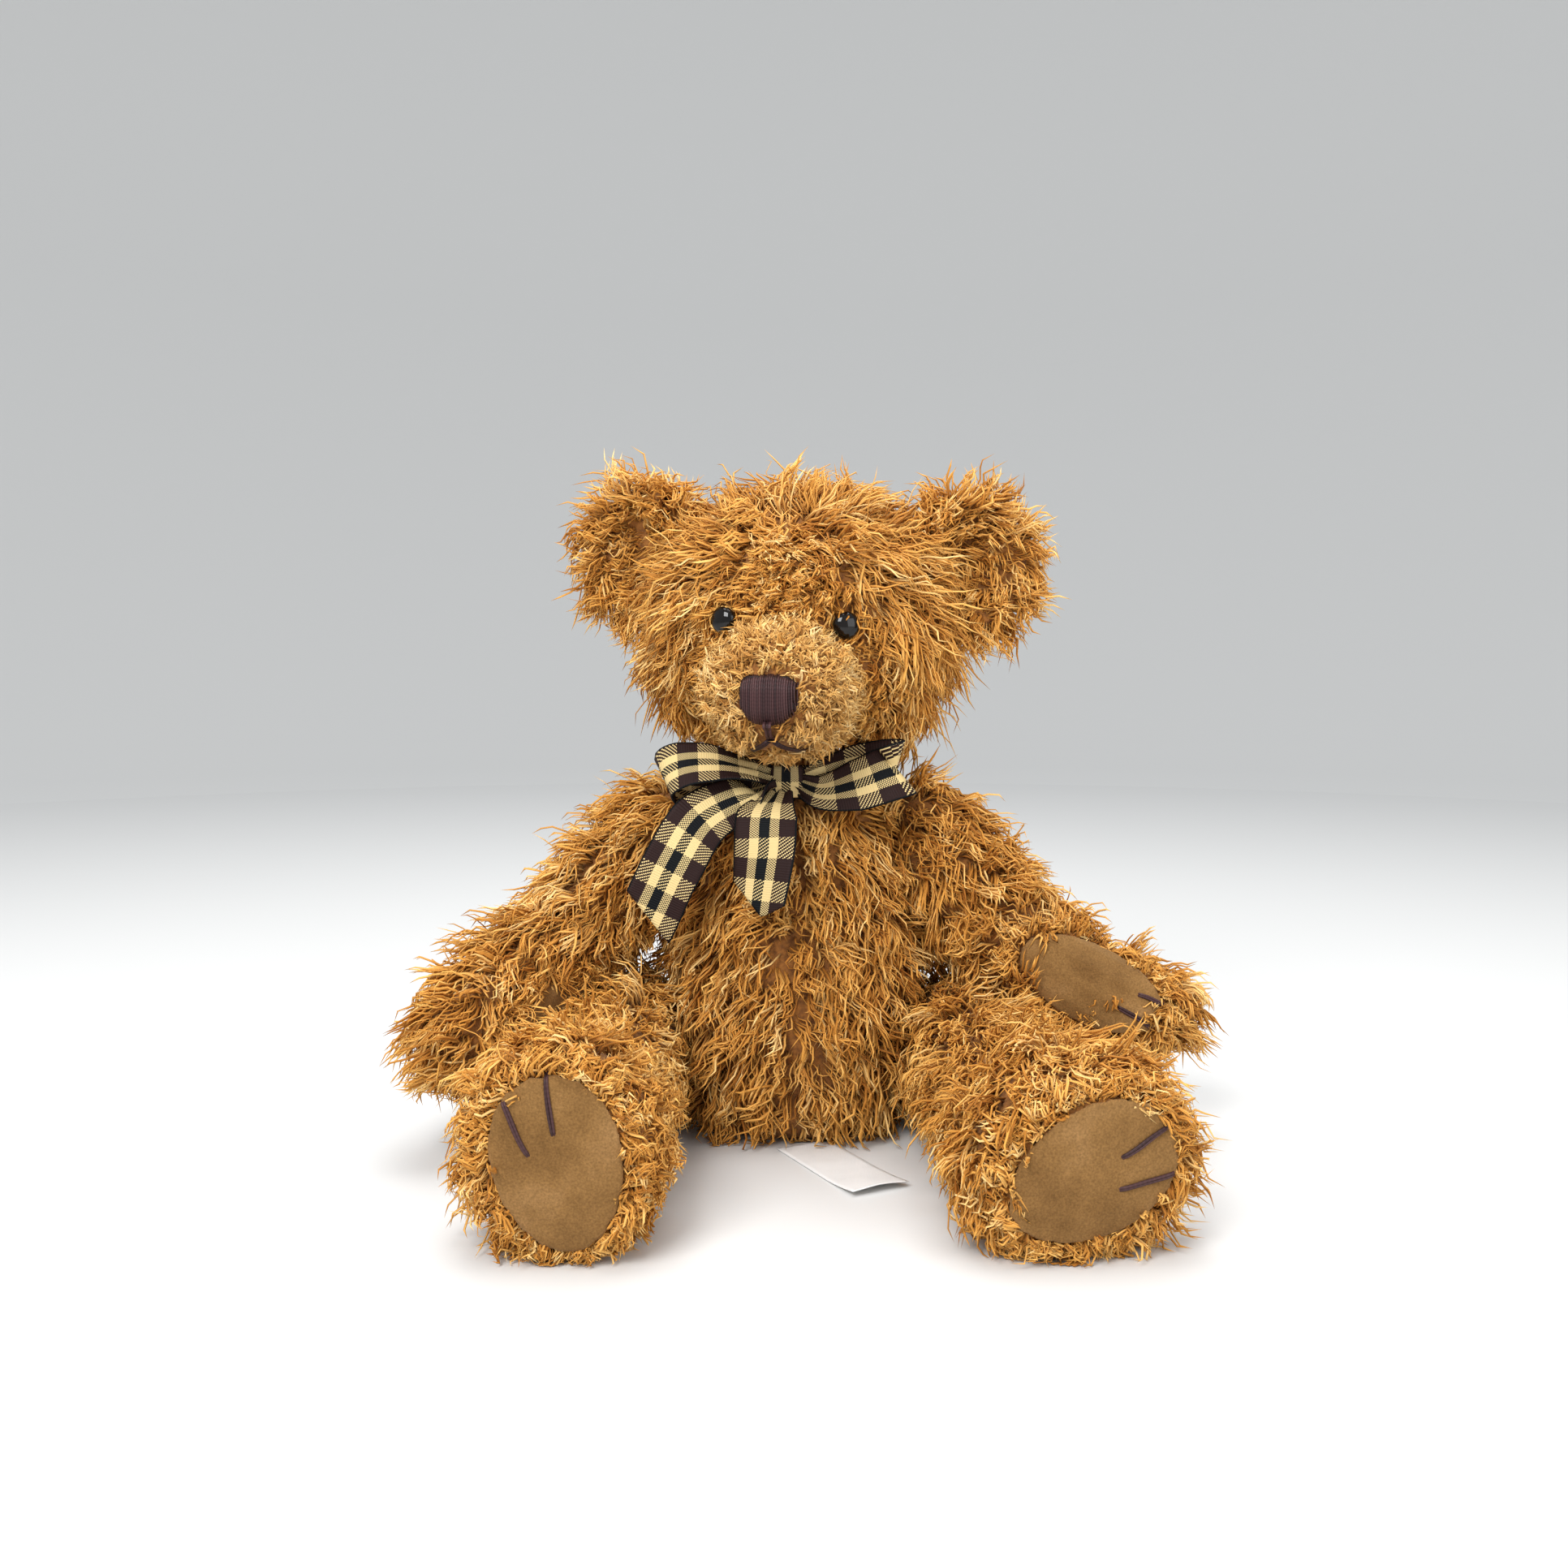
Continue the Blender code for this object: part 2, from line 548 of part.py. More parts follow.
def eye_parts(word, toward, at):
    """A domed eye on a stem, which a washer inside the head holds."""
    profile = [(EYE_SEAT, EYE_RADIUS * 0.86, EYE_RADIUS * 0.86, 0.0)]
    for step in range(5):
        angle = math.radians(8 + 18 * step)
        height = EYE_SEAT + EYE_RIM + EYE_RADIUS * EYE_DOME * math.sin(angle)
        profile.append((height, EYE_RADIUS * math.cos(angle), EYE_RADIUS * math.cos(angle), 0.0))
    eye = piece(word + "_eye", loft(profile, turn=toward, sides=DISC_SIDES), EYE_BLACK, at)
    shaft = disc(EYE_STEM, -EYE_STEM_DEPTH, EYE_SEAT + EYE_RIM / 2, toward, PIN_SIDES)
    boolean(eye, piece(word + "_eye_stem", shaft, parent=at), "UNION")
    washer = disc(EYE_WASHER, *EYE_WASHER_HEIGHTS, toward, DISC_SIDES)
    washer = piece(word + "_eye_washer", washer, PLASTIC, at)
    bore = piece(word + "_eye_bore", disc(EYE_STEM + GAP, -EYE_DEEP, EYE_DEEP, toward, PIN_SIDES), parent=at)
    boolean(washer, bore)


def muzzle(head_outline, at):
    """The short-piled muzzle, its stuffing, and the nose and mouth stitched on its front."""
    forward = Matrix.Translation(MUZZLE_MIDDLE) @ Matrix.Rotation(math.pi / 2, 4, "X")
    half_width, half_height, half_length = MUZZLE_HALF
    first, last = MUZZLE_ANGLES
    angles = [first + (last - first) * step / (MUZZLE_RINGS - 1) for step in range(MUZZLE_RINGS)]
    rings = []
    for angle in angles:
        share = math.cos(angle) ** MUZZLE_ROUNDNESS
        rings.append((half_length * math.sin(angle), half_width * share, half_height * share, 0.0))
    face = piece("muzzle_head_guide", loft(head_outline, GAP), parent=at)
    skin = piece("muzzle_skin", loft(rings, turn=forward), PLUSH, at)
    boolean(skin, piece("muzzle_hollow", loft(rings, -WALL, forward), parent=at))
    boolean(skin, face)
    fill = piece("muzzle_stuffing", loft(rings, -WALL - GAP, forward), STUFFING, at)
    boolean(fill, face)
    cut_start = Matrix.Translation((0, MUZZLE_MIDDLE.y - half_length * MUZZLE_CUT, 0))
    front = cut_start @ Matrix.Rotation(math.pi / 2, 4, "X")
    width, height = NOSE_SIZE
    top = MUZZLE_MIDDLE.z + NOSE_TOP
    nose = [
        (-width / 2, top - 0.0015),
        (-width / 2, top - height * 0.62),
        (-width * 0.30, top - height * 0.92),
        (0, top - height),
        (width * 0.30, top - height * 0.92),
        (width / 2, top - height * 0.62),
        (width / 2, top - 0.0015),
        (width * 0.38, top),
        (-width * 0.38, top),
    ]
    patch("nose_embroidery", prism(nose, REACH, front), rings, (GAP, 0.0018), DARK_THREAD, at, forward)
    low = top - height - 0.0005
    fork = low - MOUTH_STEM * 0.55
    reach, drop, half = MOUTH_ARM * 0.86, MOUTH_ARM * 0.42, MOUTH_WIDTH / 2
    mouth = [
        (-half, low),
        (-half, fork + half),
        (-reach, fork - drop + half),
        (-reach, fork - drop - half),
        (0, fork - 2 * half),
        (reach, fork - drop - half),
        (reach, fork - drop + half),
        (half, fork + half),
        (half, low),
    ]
    patch("mouth_stitch", prism(mouth, REACH, front), rings, (GAP, 0.0012), DARK_THREAD, at, forward)


def ear(side, word, head_outline, at):
    """Two cupped layers, sewn round their edge: a back of plush and a lining inside the cup."""
    cup = (
        Matrix.Translation((side * EAR_MIDDLE.x, EAR_MIDDLE.y, EAR_MIDDLE.z))
        @ Matrix.Rotation(side * EAR_TURN, 4, "Z")
        @ Matrix.Rotation(math.pi / 2, 4, "X")
    )
    face = piece(word + "_ear_head_guide", loft(head_outline, GAP), parent=at)
    for layer, low, radius in (("back", 0.0, EAR_RADIUS), ("lining", EAR_WALL + GAP, EAR_RADIUS - 0.002)):
        bm = bmesh.new()
        steps = 4
        outer = []
        for step in range(steps + 1):
            share = step / steps
            outer.append((radius * share, EAR_DEPTH * share**2 + low - EAR_DEPTH * 0.7))
        profile = outer + [(r, z + EAR_WALL) for r, z in reversed(outer)]
        corners = [bm.verts.new((r, 0, z)) for r, z in profile]
        edges = [bm.edges.new(pair) for pair in zip(corners, corners[1:])]
        bmesh.ops.spin(
            bm,
            geom=corners + edges,
            axis=(0, 0, 1),
            cent=(0, 0, 0),
            angle=2 * math.pi,
            steps=SIDES,
            use_merge=True,
        )
        bmesh.ops.remove_doubles(bm, verts=bm.verts, dist=1e-6)
        bmesh.ops.transform(bm, matrix=cup, verts=bm.verts)
        made = piece(f"{word}_ear_{layer}", bm, PLUSH, at)
        boolean(made, face)


def ribbon():
    """A plaid ribbon tied round the neck: the band, the knot, two loops and two tails with slanted ends."""
    low, high = BAND_HEIGHTS
    slab = box((0.1, 0.1, high - low), (0, 0, (low + high) / 2))
    patch("ribbon_neck_band", slab, TORSO, BAND_OFFSETS, RIBBON, None)
    knot = box(KNOT_SIZE, KNOT_MIDDLE)
    bmesh.ops.bevel(
        knot, geom=knot.edges[:], offset=0.002, affect="EDGES", segments=2, profile=0.5, material=-1
    )
    piece("ribbon_knot", knot, RIBBON)
    for side, word in ((+1, "left"), (-1, "right")):
        length = LOOP_LENGTH[side]
        start = KNOT_MIDDLE.x + side * (KNOT_SIZE[0] / 2 + GAP)
        loops = []
        for inset in (0.0, RIBBON_THICKNESS):
            points = []
            for step in range(LOOP_POINTS):
                angle = 2 * math.pi * step / LOOP_POINTS
                along = (1 - math.cos(angle)) / 2
                half = (LOOP_DEPTH / 2 - inset) * math.sin(angle) * math.sin(math.pi * along / 2 + 0.35)
                reach = inset + along * (length - KNOT_SIZE[0] / 2 - 2 * inset)
                points.append((start + side * reach, KNOT_MIDDLE.y - 0.004 - half))
            loops.append(points)
        place = Matrix.Translation((0, 0, KNOT_MIDDLE.z - RIBBON_WIDTH / 2 - 0.0015))
        piece(f"ribbon_{word}_loop", ring_tube(*loops, RIBBON_WIDTH, place), RIBBON)
        tail(side, word)


def tail(side, word):
    """A ribbon end: a thin strip along its own line, gathered at the knot and cut on the slant."""
    line = [Vector(point) for point in TAILS[side]]
    bm = bmesh.new()
    rows = []
    for index, point in enumerate(line):
        before, after = line[max(index - 1, 0)], line[min(index + 1, len(line) - 1)]
        along = (after - before).normalized()
        out = Vector((0, -1, 0))
        across = along.cross(out).normalized()
        thick = across.cross(along).normalized() * RIBBON_THICKNESS / 2
        half = across * (RIBBON_WIDTH / 2 if index else RIBBON_WIDTH / 3)
        slant = along * (TAIL_SLANT if index == len(line) - 1 else 0)
        section = (
            point - half - thick,
            point + half - thick + slant,
            point + half + thick + slant,
            point - half + thick,
        )
        corners = [bm.verts.new(corner) for corner in section]
        rows.append([bm.edges.new(pair) for pair in zip(corners, corners[1:] + corners[:1])])
    for last, following in zip(rows, rows[1:]):
        bmesh.ops.bridge_loops(bm, edges=last + following)
    for row in (rows[0], rows[-1]):
        bmesh.ops.contextual_create(bm, geom=row)
    piece(f"ribbon_{word}_tail", bm, RIBBON)


def label():
    """A blank satin label, sewn into the seat's seam and lying on the surface that the bear sits on."""
    turn = Matrix.Rotation(LABEL_TURN, 4, "Z")
    middle = LABEL_START + turn @ Vector((0, -LABEL_SIZE[1] / 2, 0))
    piece("blank_label", box(LABEL_SIZE, middle, turn), LABEL_WHITE)


def build():
    clear_scene()
    frame(BEAR_FRAME, Matrix.Translation(-FOOTPRINT_MIDDLE))
    cutters = {}
    for name, (seat, radius) in seats().items():
        moving = joint_hardware(name, seat, radius)
        flat = SHOULDER_FLAT if "shoulder" in name else HIP_FLAT
        cutters[name] = stud_cutters(name, moving, radius, flat)
    torso(cutters)
    head(seats()["neck"][0], cutters["neck"])
    for side, word in ((+1, "left"), (-1, "right")):
        arm(side, word, seats()[word + "_shoulder"][0], cutters[word + "_shoulder"])
        leg(side, word, seats()[word + "_hip"][0], cutters[word + "_hip"])
    ribbon()
    label()


build()
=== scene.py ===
"""The looks of a seated jointed teddy bear: pile, suede pads, embroidery, eyes, plaid bow and blank label.

The bear faces -Y. Each plush body is a stuffed form, and its pile is thousands of closed tapering yarns that
are combed over the form, drawn together in tufts and waved.
"""

import json
import math

import bmesh
import bpy
import numpy as np
from mathutils import Matrix, Vector
from mathutils.bvhtree import BVHTree
from mathutils.kdtree import KDTree

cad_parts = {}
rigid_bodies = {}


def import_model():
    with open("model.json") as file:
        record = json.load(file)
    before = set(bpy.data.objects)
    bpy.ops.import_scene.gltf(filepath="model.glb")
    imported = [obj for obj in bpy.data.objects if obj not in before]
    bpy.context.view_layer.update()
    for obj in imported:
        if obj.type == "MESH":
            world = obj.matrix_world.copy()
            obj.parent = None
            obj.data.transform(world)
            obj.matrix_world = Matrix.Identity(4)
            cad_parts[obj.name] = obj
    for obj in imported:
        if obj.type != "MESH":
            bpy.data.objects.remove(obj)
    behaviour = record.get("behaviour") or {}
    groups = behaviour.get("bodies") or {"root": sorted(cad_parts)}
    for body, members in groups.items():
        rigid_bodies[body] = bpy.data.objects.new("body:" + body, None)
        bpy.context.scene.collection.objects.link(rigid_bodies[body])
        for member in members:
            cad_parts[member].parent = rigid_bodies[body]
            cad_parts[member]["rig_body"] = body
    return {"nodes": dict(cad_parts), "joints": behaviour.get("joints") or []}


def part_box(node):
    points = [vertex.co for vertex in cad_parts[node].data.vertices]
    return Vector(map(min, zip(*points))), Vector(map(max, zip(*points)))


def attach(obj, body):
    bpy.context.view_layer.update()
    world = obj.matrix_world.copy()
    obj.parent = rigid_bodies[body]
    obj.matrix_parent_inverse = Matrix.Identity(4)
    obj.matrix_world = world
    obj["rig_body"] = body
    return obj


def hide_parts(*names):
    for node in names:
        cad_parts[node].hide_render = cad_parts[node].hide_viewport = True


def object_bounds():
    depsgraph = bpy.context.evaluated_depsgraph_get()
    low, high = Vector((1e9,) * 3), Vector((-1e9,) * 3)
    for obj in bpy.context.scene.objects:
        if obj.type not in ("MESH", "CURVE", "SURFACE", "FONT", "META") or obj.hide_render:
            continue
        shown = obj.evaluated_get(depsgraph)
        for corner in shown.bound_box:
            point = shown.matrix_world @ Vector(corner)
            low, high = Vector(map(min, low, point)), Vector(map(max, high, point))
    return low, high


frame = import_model()
CAD_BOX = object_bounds()

SIDES = {"left": +1, "right": -1}
SEED = 41
FLOOR_CLEARANCE = 0.0006
PAD_EDGE = 0.0011  # the pile starts this far from its pad

# Forms under the pile
FORM_VOXEL = 0.0030
EAR_VOXEL = 0.0013
PAD_VOXEL = 0.0008
PUFF_PRESSURE = 4.0
PUFF_FRAMES = 20
PUFF_CAP = 0.0015

# Yarn of the pile
LONG_RINGS, SHORT_RINGS = 5, 4
LONG_YARN, SHORT_YARN = 0.00050, 0.00048
DOWN = np.array((0.0, 0.0, -1.0))
PILE_ROOM = np.array((0.0172, 0.0148, 0.0162))
TORSO_YARNS, ARM_YARNS, LEG_YARNS, HEAD_YARNS, EAR_YARNS = 10300, 5700, 7700, 13700, 2900
MUZZLE_YARNS, BRIDGE_YARNS = 6200, 1100
ARM_PILE = {"left": 0.0160, "right": 0.0150}
LEG_PILE = 0.0180
PAW_OVERHANG = {"left": 0.0, "right": 0.9}  # how much the pile above the paw's pad hangs over it
INWARD_SHORTENING = {+1: 0.12, -1: 0.45}  # the pile is shorter where a limb lies by the torso
MOUTH_PARTING = 0.0044
EYE_BARE = 0.0042

# Camera
CAMERA_PLACE = Vector((-0.0121, -0.5536, 0.1860))
CAMERA_PITCH = math.radians(85)
CAMERA_LENS = 36.07


# ---------------------------------------------------------------- shared tools


def new_object(name, bm):
    mesh = bpy.data.meshes.new(name)
    bm.to_mesh(mesh)
    bm.free()
    obj = bpy.data.objects.new(name, mesh)
    bpy.context.scene.collection.objects.link(obj)
    return obj


def finish(obj, material, body):
    obj.data.materials.clear()
    obj.data.materials.append(material)
    obj.data.shade_smooth()
    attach(obj, body)
    return obj


def apply_modifiers(obj):
    """The object with its modifiers made part of its mesh."""
    bpy.context.view_layer.update()
    graph = bpy.context.evaluated_depsgraph_get()
    made = bpy.data.meshes.new_from_object(obj.evaluated_get(graph))
    old = obj.data
    obj.modifiers.clear()
    obj.data = made
    bpy.data.meshes.remove(old)
    made.name = obj.name
    return obj


def coordinates(mesh):
    points = np.empty(len(mesh.vertices) * 3, np.float32)
    mesh.vertices.foreach_get("co", points)
    return points.reshape(-1, 3).astype(float)


def node_points(node):
    return coordinates(frame["nodes"][node].data)


def middle_of(node):
    low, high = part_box(node)
    return np.array((low + high) / 2)


def unit(vectors):
    vectors = np.asarray(vectors, float)
    return vectors / np.maximum(np.linalg.norm(vectors, axis=-1, keepdims=True), 1e-12)


def tangent(vectors, normals):
    return vectors - normals * (vectors * normals).sum(-1, keepdims=True)


def joint_place(name):
    return np.array(next(j["pos_m"] for j in frame["joints"] if j["name"] == name))


# ---------------------------------------------------------------- materials


def blank_material(name, roughness, sheen=0.0, sheen_tint=(1, 1, 1), specular=0.5):
    material = bpy.data.materials.new(name)
    material.use_nodes = True
    shader = material.node_tree.nodes["Principled BSDF"]
    shader.inputs["Roughness"].default_value = roughness
    shader.inputs["Specular IOR Level"].default_value = specular
    shader.inputs["Sheen Weight"].default_value = sheen
    shader.inputs["Sheen Tint"].default_value = (*sheen_tint, 1)
    return material, material.node_tree, shader


def ramp(tree, stops, source=None):
    node = tree.nodes.new("ShaderNodeValToRGB")
    elements = node.color_ramp.elements
    while len(elements) < len(stops):
        elements.new(0.5)
    for element, (place, colour) in zip(elements, stops):
        element.position = place
        element.color = (*colour, 1)
    if source is not None:
        tree.links.new(source, node.inputs["Fac"])
    return node.outputs["Color"]


def mixed(tree, kind, factor, a, b):
    node = tree.nodes.new("ShaderNodeMix")
    node.data_type = "RGBA"
    node.blend_type = kind
    for socket, value in ((node.inputs[0], factor), (node.inputs[6], a), (node.inputs[7], b)):
        if isinstance(value, (int, float)):
            socket.default_value = value
        elif isinstance(value, tuple):
            socket.default_value = (*value, 1)
        else:
            tree.links.new(value, socket)
    return node.outputs[2]


def maths(tree, operation, *values):
    node = tree.nodes.new("ShaderNodeMath")
    node.operation = operation
    for socket, value in zip(node.inputs, values):
        if isinstance(value, (int, float)):
            socket.default_value = value
        else:
            tree.links.new(value, socket)
    return node.outputs[0]


def noise_of(tree, scale, detail=3.0, vector=None, stretch=None):
    if vector is None:
        vector = tree.nodes.new("ShaderNodeTexCoord").outputs["Object"]
    if stretch:
        mapping = tree.nodes.new("ShaderNodeMapping")
        mapping.inputs["Scale"].default_value = stretch
        tree.links.new(vector, mapping.inputs["Vector"])
        vector = mapping.outputs["Vector"]
    node = tree.nodes.new("ShaderNodeTexNoise")
    node.inputs["Scale"].default_value = scale
    node.inputs["Detail"].default_value = detail
    tree.links.new(vector, node.inputs["Vector"])
    return node.outputs["Fac"]


def bump(tree, shader, height, distance, strength=1.0):
    node = tree.nodes.new("ShaderNodeBump")
    node.inputs["Distance"].default_value = distance
    node.inputs["Strength"].default_value = strength
    tree.links.new(height, node.inputs["Height"])
    tree.links.new(node.outputs["Normal"], shader.inputs["Normal"])


def pile_material(name, tones, root_shade, roughness=0.62):
    """Yarn coloured by its own map: across it its own tone, and up it from the shaded root to the tip."""
    material, tree, shader = blank_material(name, roughness, 0.10, (1.0, 0.75, 0.42), 0.15)
    uv = tree.nodes.new("ShaderNodeUVMap")
    uv.uv_map = YARN_MAP
    split = tree.nodes.new("ShaderNodeSeparateXYZ")
    tree.links.new(uv.outputs["UV"], split.inputs["Vector"])
    tone = ramp(tree, tones, split.outputs["X"])
    along = ramp(tree, root_shade, split.outputs["Y"])
    colour = mixed(tree, "MULTIPLY", 1.0, tone, along)
    tree.links.new(colour, shader.inputs["Base Color"])
    return material


def backing_material():
    """The knitted backing that the pile is rooted in, kept dark brown as painted shade for the depths between
    the yarns.
    """
    material, tree, shader = blank_material("plush backing and painted shade", 0.95, 0.2, (1.0, 0.7, 0.4))
    # painted shade: the dark brown ramp stands in for the shadow deep in the pile, where the backing shows
    # between yarns
    colour = ramp(tree, [(0.35, (0.13, 0.045, 0.008)), (0.65, (0.30, 0.115, 0.020))], noise_of(tree, 400))
    tree.links.new(colour, shader.inputs["Base Color"])
    bump(tree, shader, noise_of(tree, 900, 2), 0.0004)
    return material


def suede_material():
    material, tree, shader = blank_material("suede", 0.92, 0.22, (1.0, 0.72, 0.42), 0.12)
    broad = ramp(
        tree,
        [(0.30, (0.150, 0.074, 0.022)), (0.52, (0.215, 0.112, 0.036)), (0.72, (0.275, 0.150, 0.056))],
        noise_of(tree, 55, 4),
    )
    nap = ramp(tree, [(0.30, (0.72, 0.70, 0.68)), (0.70, (1.15, 1.15, 1.15))], noise_of(tree, 1500, 2))
    tree.links.new(mixed(tree, "MULTIPLY", 1.0, broad, nap), shader.inputs["Base Color"])
    bump(tree, shader, noise_of(tree, 1800, 3), 0.00018)
    return material


def thread_material(name, dark, light, roughness=0.45):
    material, tree, shader = blank_material(name, roughness, 0.0, (1, 1, 1), 0.22)
    uv = tree.nodes.new("ShaderNodeUVMap")
    uv.uv_map = YARN_MAP
    split = tree.nodes.new("ShaderNodeSeparateXYZ")
    tree.links.new(uv.outputs["UV"], split.inputs["Vector"])
    # painted shade and highlight: the bands along the thread stand in for light and shade on its twisted
    # plies
    painted_twist_shade = maths(tree, "SINE", maths(tree, "MULTIPLY", split.outputs["Y"], 90.0))
    tone = maths(tree, "MULTIPLY_ADD", painted_twist_shade, 0.10, split.outputs["X"])
    colour = ramp(tree, [(0.0, dark), (1.0, light)], tone)
    tree.links.new(colour, shader.inputs["Base Color"])
    return material


def eye_material():
    material, tree, shader = blank_material("polished eye", 0.04, 0.0, (1, 1, 1), 0.35)
    colour = ramp(tree, [(0.4, (0.002, 0.0015, 0.0015)), (0.6, (0.006, 0.004, 0.003))], noise_of(tree, 160))
    tree.links.new(colour, shader.inputs["Base Color"])
    return material


CREAM, BROWN, BLACK = (0.66, 0.50, 0.23), (0.020, 0.009, 0.008), (0.003, 0.004, 0.005)


def plaid_material():
    """Ribbon woven of cream, brown and black: warp stripes cross weft bands and mix where they meet."""
    material, tree, shader = blank_material("plaid ribbon", 0.60, 0.0, (1, 1, 1), 0.12)
    uv = tree.nodes.new("ShaderNodeUVMap")
    uv.uv_map = RIBBON_MAP
    split = tree.nodes.new("ShaderNodeSeparateXYZ")
    tree.links.new(uv.outputs["UV"], split.inputs["Vector"])
    across, along = split.outputs["X"], split.outputs["Y"]
    warp = ramp(tree, WARP_STRIPES, across)
    warp.node.color_ramp.interpolation = "CONSTANT"
    dark_weft = ramp(tree, DARK_WEFT, across)
    dark_weft.node.color_ramp.interpolation = "CONSTANT"
    band = maths(tree, "FRACT", maths(tree, "DIVIDE", along, 2 * WEFT_BAND))
    is_cream = maths(tree, "GREATER_THAN", band, 0.5)
    weft = mixed(tree, "MIX", is_cream, dark_weft, CREAM)
    columns = maths(tree, "FLOOR", maths(tree, "DIVIDE", across, WEAVE_ACROSS))
    rows = maths(tree, "FLOOR", maths(tree, "DIVIDE", along, WEAVE_ALONG))
    place = maths(tree, "ADD", columns, rows)
    every_third = maths(tree, "LESS_THAN", maths(tree, "MODULO", place, 3.0), 0.5)
    every_other = maths(tree, "LESS_THAN", maths(tree, "MODULO", place, 2.0), 0.5)
    over = mixed(tree, "MIX", is_cream, every_other, every_third)
    colour = mixed(tree, "MIX", over, warp, weft)
    edge = maths(tree, "GREATER_THAN", maths(tree, "ABSOLUTE", maths(tree, "SUBTRACT", across, 0.5)), 0.475)
    colour = mixed(tree, "MIX", edge, colour, BLACK)
    tree.links.new(colour, shader.inputs["Base Color"])
    ribs = maths(tree, "SINE", maths(tree, "MULTIPLY", along, math.pi / WEAVE_ALONG))
    bump(tree, shader, ribs, 0.00008, 0.7)
    return material


def label_material():
    material, tree, shader = blank_material("label satin", 0.5, 0.2, (1, 1, 1), 0.4)
    colour = ramp(tree, [(0.3, (0.80, 0.80, 0.79)), (0.7, (0.88, 0.88, 0.87))], noise_of(tree, 90))
    tree.links.new(colour, shader.inputs["Base Color"])
    weave = noise_of(tree, 1400, 1, stretch=(1, 0.15, 1))
    bump(tree, shader, weave, 0.0001)
    return material


def moulded_plastic():
    material, tree, shader = blank_material("moulded joint plastic", 0.42)
    colour = ramp(tree, [(0.35, (0.74, 0.72, 0.66)), (0.65, (0.80, 0.79, 0.74))], noise_of(tree, 200))
    tree.links.new(colour, shader.inputs["Base Color"])
    bump(tree, shader, noise_of(tree, 1200, 2), 0.00005)
    return material


def fibre_fill():
    material, tree, shader = blank_material("fibre fill", 1.0, 0.5)
    colour = ramp(tree, [(0.3, (0.66, 0.65, 0.61)), (0.7, (0.88, 0.87, 0.84))], noise_of(tree, 260, 6))
    tree.links.new(colour, shader.inputs["Base Color"])
    bump(tree, shader, noise_of(tree, 500, 6), 0.0012)
    return material


PILE_TONES = [
    (0.00, (0.36, 0.130, 0.016)),
    (0.25, (0.53, 0.225, 0.035)),
    (0.50, (0.70, 0.340, 0.068)),
    (0.75, (0.84, 0.475, 0.130)),
    (1.00, (0.92, 0.640, 0.270)),
]
PILE_SHADE = [
    (0.0, (0.34, 0.24, 0.15)),
    (0.4, (0.82, 0.76, 0.68)),
    (0.8, (1.0, 1.0, 1.0)),
    (1.0, (1.12, 1.12, 1.08)),
]
MUZZLE_TONES = [
    (0.00, (0.45, 0.200, 0.040)),
    (0.40, (0.66, 0.355, 0.095)),
    (0.75, (0.82, 0.500, 0.170)),
    (1.00, (0.92, 0.670, 0.320)),
]
MUZZLE_SHADE = [(0.0, (0.50, 0.40, 0.30)), (0.6, (1.0, 1.0, 1.0)), (1.0, (1.08, 1.08, 1.08))]
YARN_MAP = "OFBake"
RIBBON_MAP = "ribbon"
RIBBON_WIDTH, RIBBON_THICKNESS = 0.022, 0.0005
WEFT_BAND = 0.0075
WEAVE_ACROSS, WEAVE_ALONG = 0.026, 0.00042
WARP_STRIPES = [(0.0, BROWN), (0.25, CREAM), (0.40, BLACK), (0.57, CREAM), (0.72, BROWN)]
DARK_WEFT = [(0.0, BROWN), (0.25, BLACK), (0.72, BROWN)]


# ---------------------------------------------------------------- forms


def keep_largest(bm):
    """Leaves only the outermost shell of a remeshed form."""
    bm.verts.ensure_lookup_table()
    left = set(range(len(bm.verts)))
    best = []
    while left:
        start = left.pop()
        island, front = [start], [start]
        while front:
            for edge in bm.verts[front.pop()].link_edges:
                for vert in edge.verts:
                    if vert.index in left:
                        left.discard(vert.index)
                        island.append(vert.index)
                        front.append(vert.index)
        if len(island) > len(best):
            best = island
    kept = set(best)
    bmesh.ops.delete(bm, geom=[v for v in bm.verts if v.index not in kept], context="VERTS")


def puff(obj):
    """Fills the form: cloth under light pressure, which may move no point further than PUFF_CAP."""
    start = coordinates(obj.data)
    cloth = obj.modifiers.new("Cloth", "CLOTH")
    cloth.settings.use_pressure = True
    cloth.settings.uniform_pressure_force = PUFF_PRESSURE
    cloth.settings.effector_weights.gravity = 0
    for step in range(1, PUFF_FRAMES + 1):
        bpy.context.scene.frame_set(step)
    graph = bpy.context.evaluated_depsgraph_get()
    end = coordinates(obj.evaluated_get(graph).data)
    obj.modifiers.remove(cloth)
    bpy.context.scene.frame_set(1)
    moved = end - start
    far = np.linalg.norm(moved, axis=1, keepdims=True)
    moved *= np.minimum(1, PUFF_CAP / np.maximum(far, 1e-9))
    obj.data.vertices.foreach_set("co", (start + moved).astype(np.float32).ravel())
    obj.data.update()


